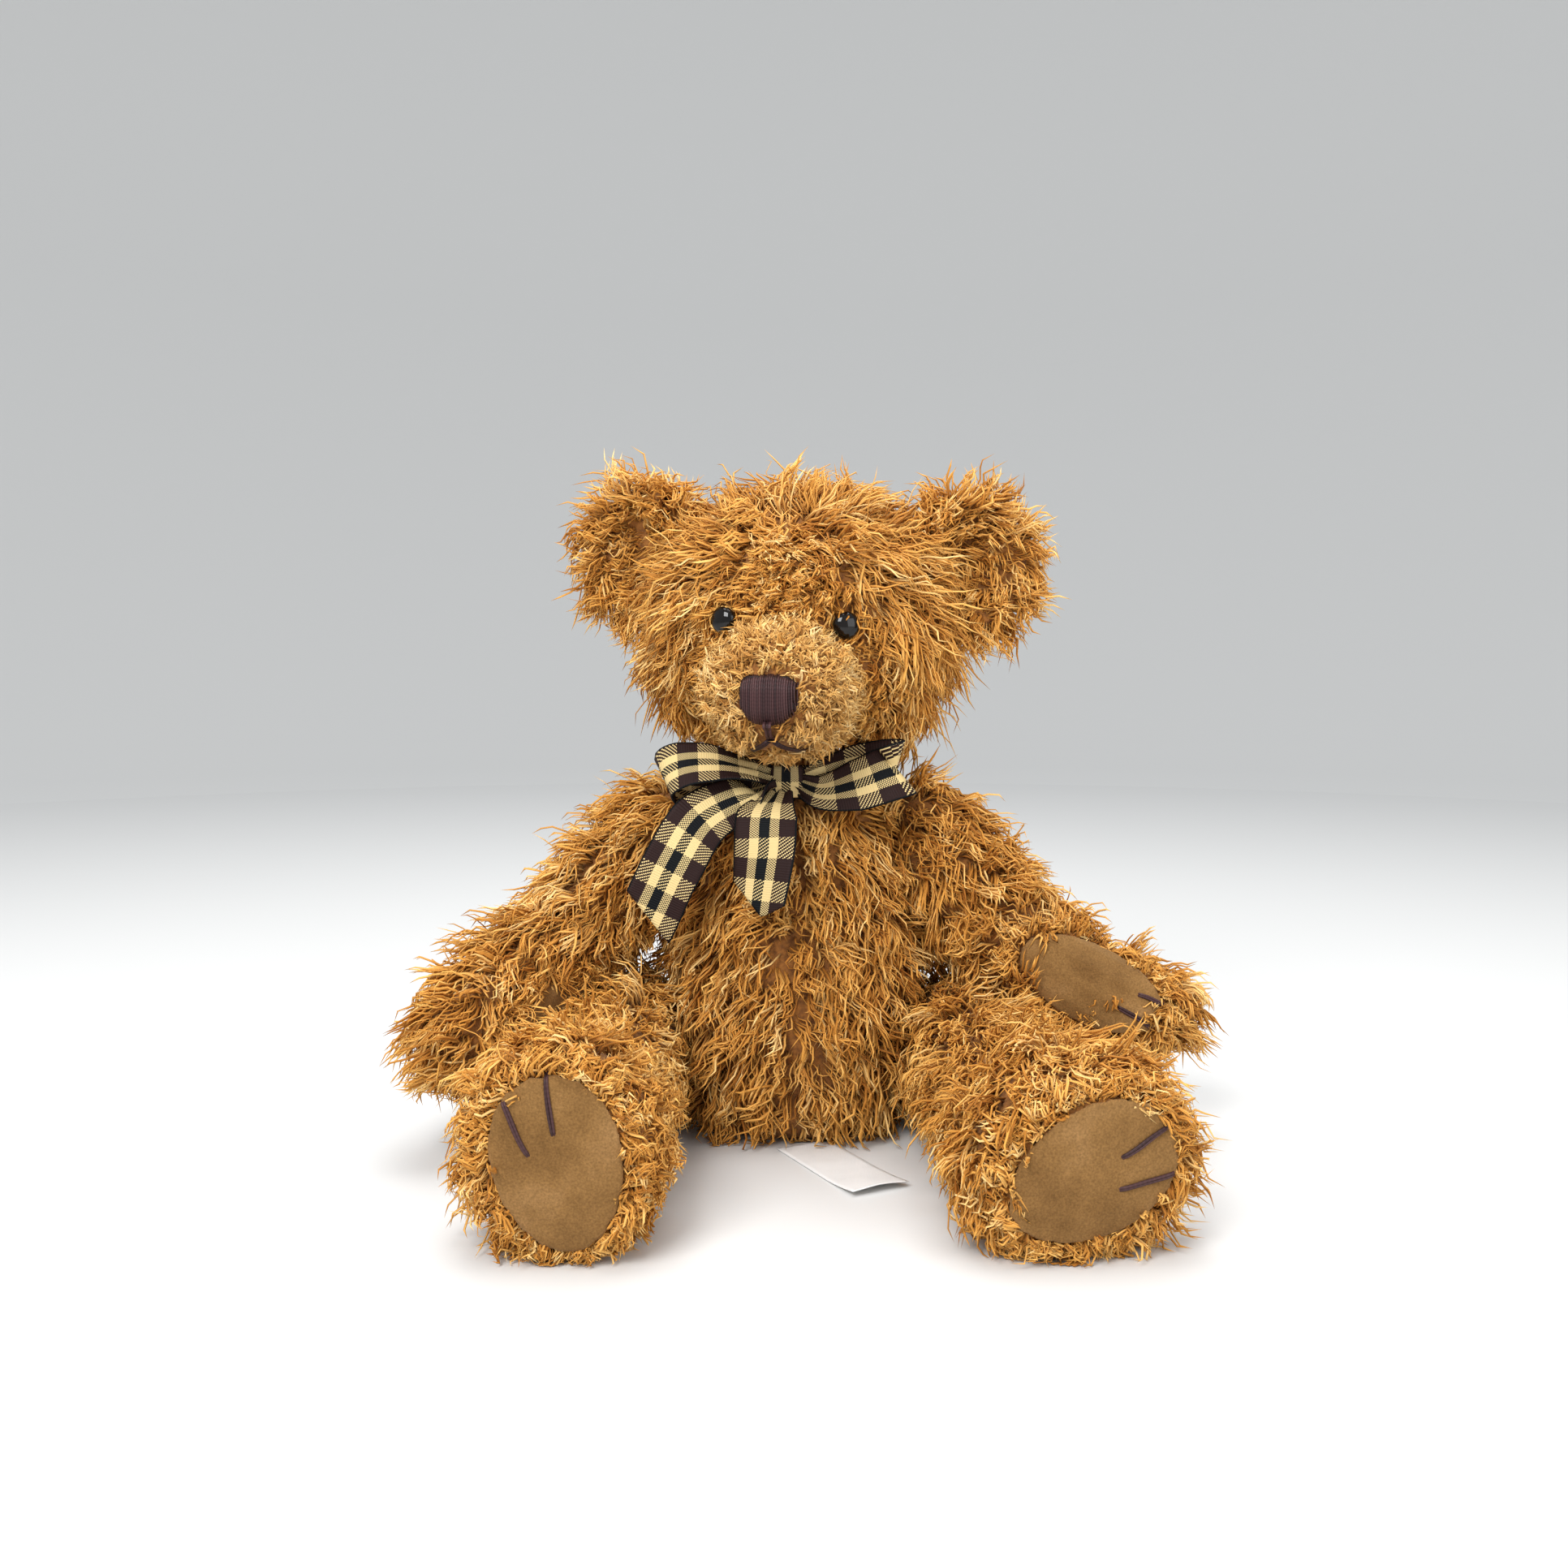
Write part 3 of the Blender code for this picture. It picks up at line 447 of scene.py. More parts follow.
def stuffed_form(name, nodes, voxel=FORM_VOXEL, smoothing=6, stuffed=True):
    """One closed form around CAD pieces of a body, smoothed and puffed."""
    bm = bmesh.new()
    for node in nodes:
        bm.from_mesh(frame["nodes"][node].data)
    bmesh.ops.remove_doubles(bm, verts=bm.verts, dist=1e-6)
    obj = new_object(name, bm)
    remesh = obj.modifiers.new("Remesh", "REMESH")
    remesh.mode = "VOXEL"
    remesh.voxel_size = voxel
    apply_modifiers(obj)
    bm = bmesh.new()
    bm.from_mesh(obj.data)
    keep_largest(bm)
    for _ in range(smoothing):
        bmesh.ops.smooth_vert(
            bm, verts=bm.verts, factor=0.5, use_axis_x=True, use_axis_y=True, use_axis_z=True
        )
    bmesh.ops.recalc_face_normals(bm, faces=bm.faces)
    bm.to_mesh(obj.data)
    bm.free()
    if stuffed:
        puff(obj)
    points = coordinates(obj.data)
    points[:, 2] = np.maximum(points[:, 2], FLOOR_CLEARANCE / 2)
    obj.data.vertices.foreach_set("co", points.astype(np.float32).ravel())
    obj.data.update()
    return obj


# ---------------------------------------------------------------- yarn


def yarn_template(rings, sides=3):
    """A closed tapering yarn: Z runs from 0 at the root to 1 at the tip, X and Y lie on the unit circle."""
    bm = bmesh.new()
    bmesh.ops.create_circle(bm, segments=sides, radius=1, cap_ends=True)
    edges = bm.edges[:]
    for _ in range(rings):
        made = bmesh.ops.extrude_edge_only(bm, edges=edges)["geom"]
        edges = [part for part in made if isinstance(part, bmesh.types.BMEdge)]
        verts = [part for part in made if isinstance(part, bmesh.types.BMVert)]
        bmesh.ops.translate(bm, vec=(0, 0, 1 / rings), verts=verts)
    bmesh.ops.pointmerge(bm, verts=verts, merge_co=(0, 0, 1))
    bmesh.ops.triangulate(bm, faces=bm.faces)
    bmesh.ops.recalc_face_normals(bm, faces=bm.faces)
    points = np.array([vert.co[:] for vert in bm.verts])
    faces = np.array([[vert.index for vert in face.verts] for face in bm.faces])
    bm.free()
    return points, faces


def carry(name, lines, radii, tones, template):
    """A copy of the template along each line, as one object. lines: (yarns, rings + 1, 3); radii likewise."""
    shape, faces = template
    count, levels = lines.shape[:2]
    level = np.rint(shape[:, 2] * (levels - 1)).astype(int)
    heading = np.empty_like(lines)
    heading[:, 1:-1] = lines[:, 2:] - lines[:, :-2]
    heading[:, 0] = lines[:, 1] - lines[:, 0]
    heading[:, -1] = lines[:, -1] - lines[:, -2]
    heading = unit(heading)
    chord = unit(lines[:, -1] - lines[:, 0])
    aside = unit(np.cross(chord, unit(np.roll(chord, 1, axis=1) + (0.31, 0.17, 0.53))))
    across = unit(tangent(np.repeat(aside[:, None], levels, axis=1), heading))
    upward = np.cross(heading, across)
    round_x = shape[:, 0][None, :, None] * across[:, level]
    round_y = shape[:, 1][None, :, None] * upward[:, level]
    points = lines[:, level] + radii[:, level][..., None] * (round_x + round_y)
    verts = len(shape)
    every = (faces[None] + (np.arange(count) * verts)[:, None, None]).reshape(-1, 3)
    mesh = bpy.data.meshes.new(name)
    mesh.vertices.add(count * verts)
    mesh.vertices.foreach_set("co", points.astype(np.float32).ravel())
    mesh.loops.add(every.size)
    mesh.loops.foreach_set("vertex_index", every.astype(np.int32).ravel())
    mesh.polygons.add(len(every))
    mesh.polygons.foreach_set("loop_start", np.arange(0, every.size, 3, dtype=np.int32))
    mesh.update(calc_edges=True)
    lean = np.repeat(shape[:, 0][None] * 0.004, count, axis=0)
    uv = np.stack([tones[:, None] + lean, np.repeat(shape[:, 2][None], count, axis=0)], axis=-1)
    uv = np.clip(uv.reshape(-1, 2), 0.001, 0.999)[every.ravel()]
    mesh.uv_layers.new(name=YARN_MAP).data.foreach_set("uv", uv.astype(np.float32).ravel())
    mesh.validate()
    obj = bpy.data.objects.new(name, mesh)
    bpy.context.scene.collection.objects.link(obj)
    return obj


def scatter(form, count, density, rng):
    """Roots spread over a form, with their normals. density gives the share kept at each point."""
    mesh = form.data
    mesh.calc_loop_triangles()
    corners = np.empty(len(mesh.loop_triangles) * 3, np.int32)
    mesh.loop_triangles.foreach_get("vertices", corners)
    corners = corners.reshape(-1, 3)
    points = coordinates(mesh)
    normals = np.empty(len(points) * 3, np.float32)
    mesh.vertex_normals.foreach_get("vector", normals)
    normals = normals.reshape(-1, 3).astype(float)
    first, second, third = (points[corners[:, at]] for at in range(3))
    area = np.linalg.norm(np.cross(second - first, third - first), axis=1)
    centres = points[corners].mean(axis=1)
    weight = area * density(centres, unit(normals[corners].mean(axis=1)))
    picked = rng.choice(len(corners), size=count, p=weight / weight.sum())
    share = rng.random((count, 2))
    over = share.sum(axis=1) > 1
    share[over] = 1 - share[over]
    share = np.column_stack([1 - share.sum(axis=1), share])[..., None]
    return (points[corners[picked]] * share).sum(axis=1), unit((normals[corners[picked]] * share).sum(axis=1))


def nearest(points, centres):
    tree = KDTree(len(centres))
    for index, point in enumerate(centres):
        tree.insert(point, index)
    tree.balance()
    return np.array([tree.find(point)[1] for point in points])


def comb(roots, normals, look, rng, rings):
    """The lines of the yarns: each tuft has its own way to lie, and its yarns draw together at its tip."""
    count = len(roots)
    tufts = max(1, int(count / look["tuft"]))
    chosen = rng.choice(count, size=tufts, replace=False)
    tuft = nearest(roots, roots[chosen])
    centre, up = roots[chosen], normals[chosen]
    flow = unit(tangent(look["flow"](centre, up), up))
    swirl = rng.normal(size=(tufts, 3)) * look["unruly"]
    lift = np.clip(rng.normal(look["lift"], 0.16, tufts), 0.10, 1.0)[:, None]
    size = look["length"](centre, up) * rng.uniform(0.82, 1.18, tufts)
    phase = rng.uniform(0, 2 * math.pi, tufts)
    turns = rng.uniform(0.7, 1.35, tufts) * look["turns"]
    stray = rng.random(count) < look["stray"]
    reach = (size[tuft] * np.clip(rng.normal(0.95, 0.16, count), 0.45, 1.35))[:, None]
    pull = np.clip(rng.normal(look["pull"], 0.12, count), 0, 0.95)
    pull[stray] *= 0.25
    own = rng.normal(size=(count, 3)) * np.where(stray, 0.55, 0.16)[:, None]
    own_lift = np.where(stray, 0.25, 0.0)[:, None] + lift[tuft]
    lines = np.empty((count, rings + 1, 3))
    lines[:, 0] = roots - normals * look["sink"]
    place = roots - normals * look["sink"]
    gather = centre[tuft] - roots
    for ring in range(1, rings + 1):
        share = ring / rings
        heading = (
            up[tuft] * own_lift * (1.15 - share)
            + flow[tuft] * (0.35 + 0.85 * share)
            + swirl[tuft] * (0.4 + 0.6 * share)
            + own
            + DOWN * look["droop"] * share
        )
        place = place + unit(heading) * reach / rings
        lines[:, ring] = place + gather * (pull * share**1.3)[:, None]
    side = unit(np.cross(flow, up))
    angle = phase[tuft][:, None] + rng.normal(0, 0.55, (count, 1))
    angle = angle + 2 * math.pi * turns[tuft][:, None] * np.linspace(0, 1, rings + 1)[None]
    waviness = np.clip(rng.normal(1, 0.3, (count, 1)), 0.2, 2)
    swell = look["curl"] * np.linspace(0, 1, rings + 1) ** 0.8 * waviness
    lines += (swell * np.sin(angle))[..., None] * side[tuft][:, None]
    lines += (swell * 0.7 * np.cos(angle))[..., None] * up[tuft][:, None]
    tone = 0.5 + 0.20 * rng.normal(size=tufts)[tuft] + 0.14 * rng.normal(size=count)
    return lines, np.clip(tone, 0.02, 0.98), stray


def keep_clear(lines, balls):
    """Moves the yarns' points out of balls, given as (middle, radius), and off the surface under the bear."""
    for middle, radius in balls:
        away = lines - middle
        far = np.linalg.norm(away, axis=-1, keepdims=True)
        lines = np.where(far < radius, middle + away / np.maximum(far, 1e-9) * radius, lines)
    lines[..., 2] = np.maximum(lines[..., 2], FLOOR_CLEARANCE)
    return lines


def within_room(lines):
    """Shortens the yarns that would reach further than PILE_ROOM beyond the CAD's box."""
    low = np.array(CAD_BOX[0]) - PILE_ROOM
    high = np.array(CAD_BOX[1]) + PILE_ROOM
    root = lines[:, :1]
    way = lines - root
    room = np.where(way > 0, high - root, low - root)
    share = np.where(np.abs(way) > 1e-7, room / np.where(np.abs(way) > 1e-7, way, 1.0), 1.0)
    lines = root + way * np.clip(share.min(axis=(1, 2)), 0.25, 1)[:, None, None]
    lines[..., 2] = np.maximum(lines[..., 2], FLOOR_CLEARANCE)
    return lines


def crossing(lines, barriers):
    """Which yarns pass through any of the barrier surfaces."""
    hit = np.zeros(len(lines), bool)
    for tree, low, high in barriers:
        near = ((lines > low) & (lines < high)).all(axis=-1).any(axis=1)
        for index in np.flatnonzero(near & ~hit):
            line = [Vector(point) for point in lines[index]]
            for start, end in zip(line, line[1:]):
                step = end - start
                if tree.ray_cast(start, step.normalized(), step.length)[0] is not None:
                    hit[index] = True
                    break
    return hit


def barrier(obj, margin=0.002):
    graph = bpy.context.evaluated_depsgraph_get()
    points = coordinates(obj.evaluated_get(graph).data)
    return BVHTree.FromObject(obj, graph), points.min(0) - margin, points.max(0) + margin


def coat(name, form, body, count, look, material, pieces=1, clear=(), barriers=()):
    """The pile of one form, shared out over a few pieces so that none is too big."""
    rng = np.random.default_rng(SEED + sum(map(ord, name)))
    rings = look.get("rings", LONG_RINGS)
    roots, normals = scatter(form, count, look["density"], rng)
    lines, tones, stray = comb(roots, normals, look, rng, rings)
    lines = within_room(keep_clear(lines, clear))
    kept = ~crossing(lines, barriers)
    lines, tones, stray = lines[kept], tones[kept], stray[kept]
    taper = np.interp(np.linspace(0, 1, rings + 1), (0, 0.5, 0.8, 1), (1.0, 0.96, 0.74, 0.0))
    thick = look["thick"] * rng.uniform(0.75, 1.2, len(lines)) * np.where(stray, 0.62, 1.0)
    template = yarn_template(rings)
    middle = lines[:, 0].mean(axis=0)
    around = np.argsort(np.arctan2(lines[:, 0, 0] - middle[0], middle[1] - lines[:, 0, 1]))
    for number, group in enumerate(np.array_split(around, pieces), start=1):
        radii = thick[group][:, None] * taper[None]
        made = carry(f"{name}_{number}", lines[group], radii, tones[group], template)
        finish(made, material, body)


# ---------------------------------------------------------------- how the pile lies


def constant(value):
    return lambda points, normals: np.full(len(points), value)


def plain_look(**changes):
    look = {
        "flow": lambda p, n: np.repeat(DOWN[None], len(p), axis=0),
        "length": constant(0.017),
        "density": constant(1.0),
        "lift": 0.85,
        "droop": 0.35,
        "unruly": 0.55,
        "tuft": 9,
        "pull": 0.55,
        "curl": 0.0021,
        "turns": 1.25,
        "stray": 0.14,
        "sink": 0.0006,
        "thick": LONG_YARN,
    }
    look.update(changes)
    return look


def curly_look(**changes):
    look = plain_look(
        length=constant(0.0066),
        lift=1.0,
        droop=0.1,
        unruly=0.80,
        tuft=5,
        pull=0.30,
        curl=0.0018,
        turns=1.9,
        stray=0.03,
        thick=SHORT_YARN,
        rings=SHORT_RINGS,
    )
    look.update(changes)
    return look


def smooth_step(low, high, values):
    share = np.clip((values - low) / (high - low), 0, 1)
    return share * share * (3 - 2 * share)


def away_from(point, drop=0.5, sideways=0.0):
    """Yarns run out from a point and sink a little."""

    def flow(points, normals):
        out = unit(points - point)
        return out + DOWN * drop + np.sign(points[:, :1] - point[0]) * np.array((sideways, 0, 0))

    return flow


class Region:
    """A joint-to-pad line of a limb with the pad's own plane."""

    def __init__(self, joint, pad, skin):
        self.joint = joint_place(joint)
        points = node_points(pad)
        self.pad = points.mean(axis=0)
        spread = np.linalg.svd(points - self.pad)[2]
        self.along_pad, self.across_pad, self.pad_normal = spread
        body_middle = node_points(skin).mean(axis=0)
        if (self.pad - body_middle) @ self.pad_normal < 0:
            self.pad_normal = -self.pad_normal
        local = points - self.pad
        self.pad_half = np.abs(local @ self.along_pad).max(), np.abs(local @ self.across_pad).max()
        self.axis = unit(body_middle - self.joint)

    def pad_distance(self, points):
        """Below 1 inside the pad's oval, on the pad's side of the limb; large on its other side."""
        local = points - self.pad
        oval = np.hypot(local @ self.along_pad / self.pad_half[0], local @ self.across_pad / self.pad_half[1])
        behind = local @ self.pad_normal < -0.010
        return np.where(behind, 9.0, oval)


def build():
    clear_startup()
    pile = pile_material("golden pile", PILE_TONES, PILE_SHADE)
    muzzle_pile = pile_material("clipped pile", MUZZLE_TONES, MUZZLE_SHADE, 0.7)
    backing = backing_material()
    suede = suede_material()
    dress_inner_parts()
    ribbons = ribbon(plaid_material())
    barriers = [barrier(obj) for obj in ribbons]
    blank_label(label_material())
    thread = thread_material("dark thread", (0.012, 0.005, 0.006), (0.082, 0.036, 0.036))
    head_and_face(pile, muzzle_pile, backing, thread, barriers)
    torso_coat(pile, backing, barriers)
    for word in SIDES:
        arm_coat(word, pile, backing, suede, thread)
        leg_coat(word, pile, backing, suede, thread)


def clear_startup():
    for name in ("Cube", "Light", "Camera"):
        found = bpy.data.objects.get(name)
        if found and "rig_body" not in found:
            bpy.data.objects.remove(found, do_unlink=True)


def dress_inner_parts():
    """The joint discs, washers and stuffing keep their CAD shapes, with their own finishes."""
    plastic, fill = moulded_plastic(), fibre_fill()
    for name, node in frame["nodes"].items():
        if "stuffing" in name:
            node.data.materials.clear()
            node.data.materials.append(fill)
        if "washer" in name or "disc" in name:
            node.data.materials.clear()
            node.data.materials.append(plastic)


def torso_coat(pile, backing, barriers):
    form = stuffed_form("torso_form", ["torso_skin", "torso_stuffing", "neck_torso_washer"])
    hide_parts("torso_skin")
    finish(form, backing, "torso")
    low, high = (np.array(corner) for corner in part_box("torso_skin"))
    middle = (low + high) / 2

    def flow(points, normals):
        offset = points[:, :1] - middle[0]
        seam = 0.7 * np.sign(offset) * np.exp(-((offset / 0.010) ** 2))
        sideways = (offset / (high[0] - low[0]) * 0.9 + seam) * np.array((1, 0, 0))
        return DOWN + sideways + np.array((0, -0.15, 0))

    def length(points, normals):
        neck = smooth_step(high[2], high[2] - 0.030, points[:, 2])
        seat = smooth_step(0.002, 0.020, points[:, 2])
        offset = np.abs(points[:, 0] - middle[0])
        seam = 0.70 + 0.30 * smooth_step(0.002, 0.010, offset)
        beside_limbs = 1 - 0.28 * smooth_step(0.62, 0.92, offset / (high[0] - middle[0]))
        return (0.007 + 0.0115 * neck * (0.45 + 0.55 * seat)) * seam * beside_limbs

    def density(points, normals):
        under = smooth_step(-0.75, -0.25, normals[:, 2])
        return 0.05 + 0.95 * under * smooth_step(high[2] + 0.001, high[2] - 0.006, points[:, 2])

    look = plain_look(flow=flow, length=length, density=density)
    coat("torso_pile", form, "torso", TORSO_YARNS, look, pile, 2, barriers=barriers)


def arm_coat(word, pile, backing, suede, thread):
    body = word + "_arm"
    form = stuffed_form(body + "_form", [body + "_skin", body + "_stuffing", word + "_shoulder_stud_disc"])
    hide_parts(body + "_skin")
    finish(form, backing, body)
    region = Region(word + "_shoulder_turn", word + "_paw_pad", body + "_skin")
    pad = pad_piece(word + "_paw_pad", body, suede)
    limb_coat(body, form, region, pad, ARM_YARNS, pile, ARM_PILE[word], PAW_OVERHANG[word])
    claws(word, "arm", pad, form, thread)


def leg_coat(word, pile, backing, suede, thread):
    body = word + "_leg"
    form = stuffed_form(body + "_form", [body + "_skin", body + "_stuffing", word + "_hip_stud_disc"])
    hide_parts(body + "_skin")
    finish(form, backing, body)
    region = Region(word + "_hip_turn", word + "_foot_pad", body + "_skin")
    pad = pad_piece(word + "_foot_pad", body, suede)
    limb_coat(body, form, region, pad, LEG_YARNS, pile, LEG_PILE, pieces=2)
    claws(word, "leg", pad, form, thread)


def limb_coat(body, form, region, pad, count, pile, long, over_pad=0.0, pieces=1):
    """The pile of a limb. over_pad is how much the pile above the pad hangs over it."""
    side = SIDES[body.split("_")[0]]
    surface = surface_of(pad)[0]

    def seam_distance(points):
        return np.array([surface.find_nearest(Vector(point))[3] for point in points])

    def flow(points, normals):
        near = smooth_step(2.4, 1.1, region.pad_distance(points))[:, None]
        outward = unit(tangent(points - region.pad, region.pad_normal[None]))
        above = (points[:, 2:3] > region.pad[2]) * over_pad
        return region.axis * (1 - near) + outward * near * (1 - above) + DOWN * (0.35 + near * above)

    def length(points, normals):
        near = smooth_step(0.002, 0.024, seam_distance(points))
        floor = 0.50 + 0.50 * smooth_step(0.001, 0.009, points[:, 2])
        inward = 1 - INWARD_SHORTENING[side] * smooth_step(0.25, 0.75, -normals[:, 0] * side)
        return (0.0100 + 0.004 * over_pad + (long - 0.0100) * near) * floor * inward

    def density(points, normals):
        seam = seam_distance(points)
        inner = np.linalg.norm(points - region.joint, axis=1) < 0.016
        facing = normals[:, 0] * side < -0.8
        edge = 1 + 0.9 * smooth_step(0.006, 0.002, seam)
        return (seam > PAD_EDGE) * edge * np.where(inner & facing, 0.02, 1.0)

    look = plain_look(flow=flow, length=length, density=density, droop=0.45)
    coat(body + "_pile", form, body, count, look, pile, pieces)

    def rim(points, normals):
        seam = seam_distance(points)
        return (seam > PAD_EDGE * 0.8) * smooth_step(0.0085, 0.0030, seam)

    look = curly_look(length=constant(0.0068), density=rim, flow=flow)
    coat(body + "_rim", form, body, count // 7, look, pile)


def pad_piece(node, body, suede):
    """A suede pad: the CAD patch rounded and softened."""
    obj = stuffed_form(node + "_suede", [node], PAD_VOXEL, 3, stuffed=False)
    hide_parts(node)
    points = node_points(node)
    return finish(obj, suede, body)


def head_and_face(pile, muzzle_pile, backing, thread, barriers):
    form = stuffed_form("head_form", ["head_skin", "head_stuffing", "neck_stud_disc"])
    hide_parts("head_skin")
    finish(form, backing, "head")
    middle = middle_of("head_skin")
    muzzle_middle = middle_of("muzzle_skin")
    nose = middle_of("nose_embroidery")
    face = unit((nose - middle) * (1, 1, 0))
    parting = middle + face * 0.040 + np.array((0, 0, 0.024))
    polish = eye_material()
    eyes = {word: eye(word, polish) for word in SIDES}
    balls = [(place, EYE_CLEAR[word]) for word, place in eyes.items()]

    def flow(points, normals):
        out = unit(points - parting)
        low = smooth_step(middle[2] + 0.030, middle[2] - 0.020, points[:, 2])[:, None]
        return out + DOWN * (0.15 + 0.65 * low)

    def face_share(points):
        return smooth_step(0.034, 0.052, np.linalg.norm((points - muzzle_middle) * (1, 0.6, 1), axis=1))

    def length(points, normals):
        near_face = face_share(points)
        bridge = smooth_step(0.006, 0.024, np.linalg.norm(points - parting, axis=1))
        corner = smooth_step(0.024, 0.040, np.abs(points[:, 0] - middle[0]))
        return 0.0070 + (0.0120 + 0.0045 * corner) * near_face * (0.45 + 0.55 * bridge)

    def density(points, normals):
        seat = smooth_step(middle[2] - 0.046, middle[2] - 0.036, points[:, 2])
        bare = np.ones(len(points))
        for place in eyes.values():
            bare *= np.linalg.norm(points - place, axis=1) > EYE_BARE
        under_muzzle = np.linalg.norm((points - muzzle_middle) * (1, 0.35, 1), axis=1) > 0.021
        return seat * bare * np.where(under_muzzle, 1.0, 0.0)

    look = plain_look(flow=flow, length=length, density=density, droop=0.30, lift=0.72, unruly=0.52)
    coat("head_pile", form, "head", HEAD_YARNS, look, pile, 3, clear=balls, barriers=barriers)
    brow_low = muzzle_middle + face * 0.004 + np.array((0, 0, 0.026))

    def bridge_density(points, normals):
        share = np.clip((points - brow_low) @ (parting - brow_low) / ((parting - brow_low) ** 2).sum(), 0, 1)
        far = np.linalg.norm(points - brow_low - share[:, None] * (parting - brow_low), axis=1)
        return smooth_step(0.016, 0.008, far)

    look = curly_look(length=constant(0.0085), density=bridge_density)
    coat("bridge_pile", form, "head", BRIDGE_YARNS, look, pile, clear=balls)
    muzzle(muzzle_pile, backing, thread, nose, balls, barriers)
    for word in SIDES:
        ear(word, pile, backing)


EYE_SINK = 0.0012
EYE_CLEAR = {"left": 0.0024, "right": 0.0050}  # the pile hangs closer over the left eye


def eye(word, material):
    """A polished dome on the CAD eye's own axis."""
    points = node_points(word + "_eye")
    washer = middle_of(word + "_eye_washer")
    aim = unit(points.mean(axis=0) - washer)
    depth = (points - washer) @ aim
    front = depth.max()
    around = np.linalg.norm(points - washer - depth[:, None] * aim, axis=1)
    radius = around.max()
    rim = depth[around > 0.9 * radius].mean()
    place = washer + aim * rim
    bm = bmesh.new()
    bmesh.ops.create_uvsphere(bm, u_segments=32, v_segments=20, radius=1)
    turn = Vector(aim).to_track_quat("Z", "Y").to_matrix().to_4x4()
    shape = Matrix.Diagonal((radius, radius, front - rim, 1))
    place = place - aim * EYE_SINK
    bmesh.ops.transform(bm, matrix=Matrix.Translation(place) @ turn @ shape, verts=bm.verts)
    obj = new_object(word + "_eye_dome", bm)
    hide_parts(word + "_eye")
    finish(obj, material, "head")
    return place


def muzzle(pile, backing, thread, nose, balls, barriers):
    form = stuffed_form("muzzle_form", ["muzzle_skin", "muzzle_stuffing"], FORM_VOXEL * 0.8)
    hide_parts("muzzle_skin")
    finish(form, backing, "head")
    mouth = nose_and_mouth(form, thread)
    gaps = mouth[::2]

    def density(points, normals):
        outside_nose = np.linalg.norm((points - nose) * (1, 0.6, 1.15), axis=1) > 0.0088
        apart = np.linalg.norm(points[:, None] - gaps[None], axis=2).min(axis=1) > MOUTH_PARTING
        return 1.0 * outside_nose * apart

    look = curly_look(flow=away_from(nose, 0.0), density=density)
    clear = balls + [(point, 0.0019) for point in gaps]
    coat(
        "muzzle_pile", form, "head", MUZZLE_YARNS, look, pile, clear=clear, barriers=barriers
    )


def ear(word, pile, backing):
    body = "head"
    nodes = [word + "_ear_back", word + "_ear_lining"]
    form = stuffed_form(word + "_ear_form", nodes, EAR_VOXEL, 4, stuffed=False)
    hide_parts(word + "_ear_back", word + "_ear_lining")
    finish(form, backing, body)
    points = node_points(word + "_ear_back")
    middle = points.mean(axis=0)
    lining = node_points(word + "_ear_lining").mean(axis=0)
    front = unit(lining - middle)
    radius = np.linalg.norm(points - middle, axis=1).max()

    def flow(places, normals):
        out = unit(places - middle)
        return out + DOWN * 0.35

    def length(places, normals):
        rim = smooth_step(0.45, 0.85, np.linalg.norm(places - middle, axis=1) / radius)
        inside = normals @ front > 0.3
        return np.where(inside, 0.008 + 0.007 * rim, 0.012 + 0.004 * rim)

    look = plain_look(flow=flow, length=length, lift=0.5, unruly=0.45)
    coat(word + "_ear_pile", form, body, EAR_YARNS, look, pile, 1)


# ---------------------------------------------------------------- embroidery


def surface_of(*objects):
    graph = bpy.context.evaluated_depsgraph_get()
    return [BVHTree.FromObject(obj, graph) for obj in objects]


def laid(surfaces, points, aim):
    """The points moved along aim until they lie on the outermost of the surfaces that aim leads to."""
    placed = []
    for point in points:
        start = Vector(point + aim * STITCH_REACH)
        hits = [tree.ray_cast(start, Vector(-aim), 3 * STITCH_REACH)[0] for tree in surfaces]
        hits = [hit for hit in hits if hit is not None]
        placed.append(max(hits, key=lambda hit: hit.dot(Vector(aim))) if hits else Vector(point))
    return np.array([place[:] for place in placed])


def stitch(surfaces, start, end, aim, rise, strands, spread, rng):
    """The strands of one stitch that runs over a surface from start to end and dives in at both."""
    share = np.linspace(0, 1, STITCH_RINGS + 1)[:, None]
    along = unit(end - start)
    aside = unit(np.cross(along, aim))
    lines = []
    for strand in range(strands):
        shift = (strand - (strands - 1) / 2) * spread
        wave = shift + spread * 0.22 * np.sin(7 * share + rng.uniform(0, 6))
        line = laid(surfaces, start + (end - start) * share + aside * wave, aim)
        height = rise * (1 - np.abs(2 * share - 1) ** 5) - STITCH_DIVE * np.abs(2 * share - 1) ** 9
        lines.append(line + aim * height)
    return lines


def threads(name, lines, radius, material, body, rng):
    """Thread along each line, its twist painted as shade and highlight in its material."""
    lines = np.array(lines)
    radii = np.full(lines.shape[:2], radius) * rng.uniform(0.9, 1.1, (len(lines), 1))
    tones = rng.uniform(0.15, 0.75, len(lines))
    made = carry(name, lines, radii, tones, yarn_template(lines.shape[1] - 1, THREAD_SIDES))
    return finish(made, material, body)


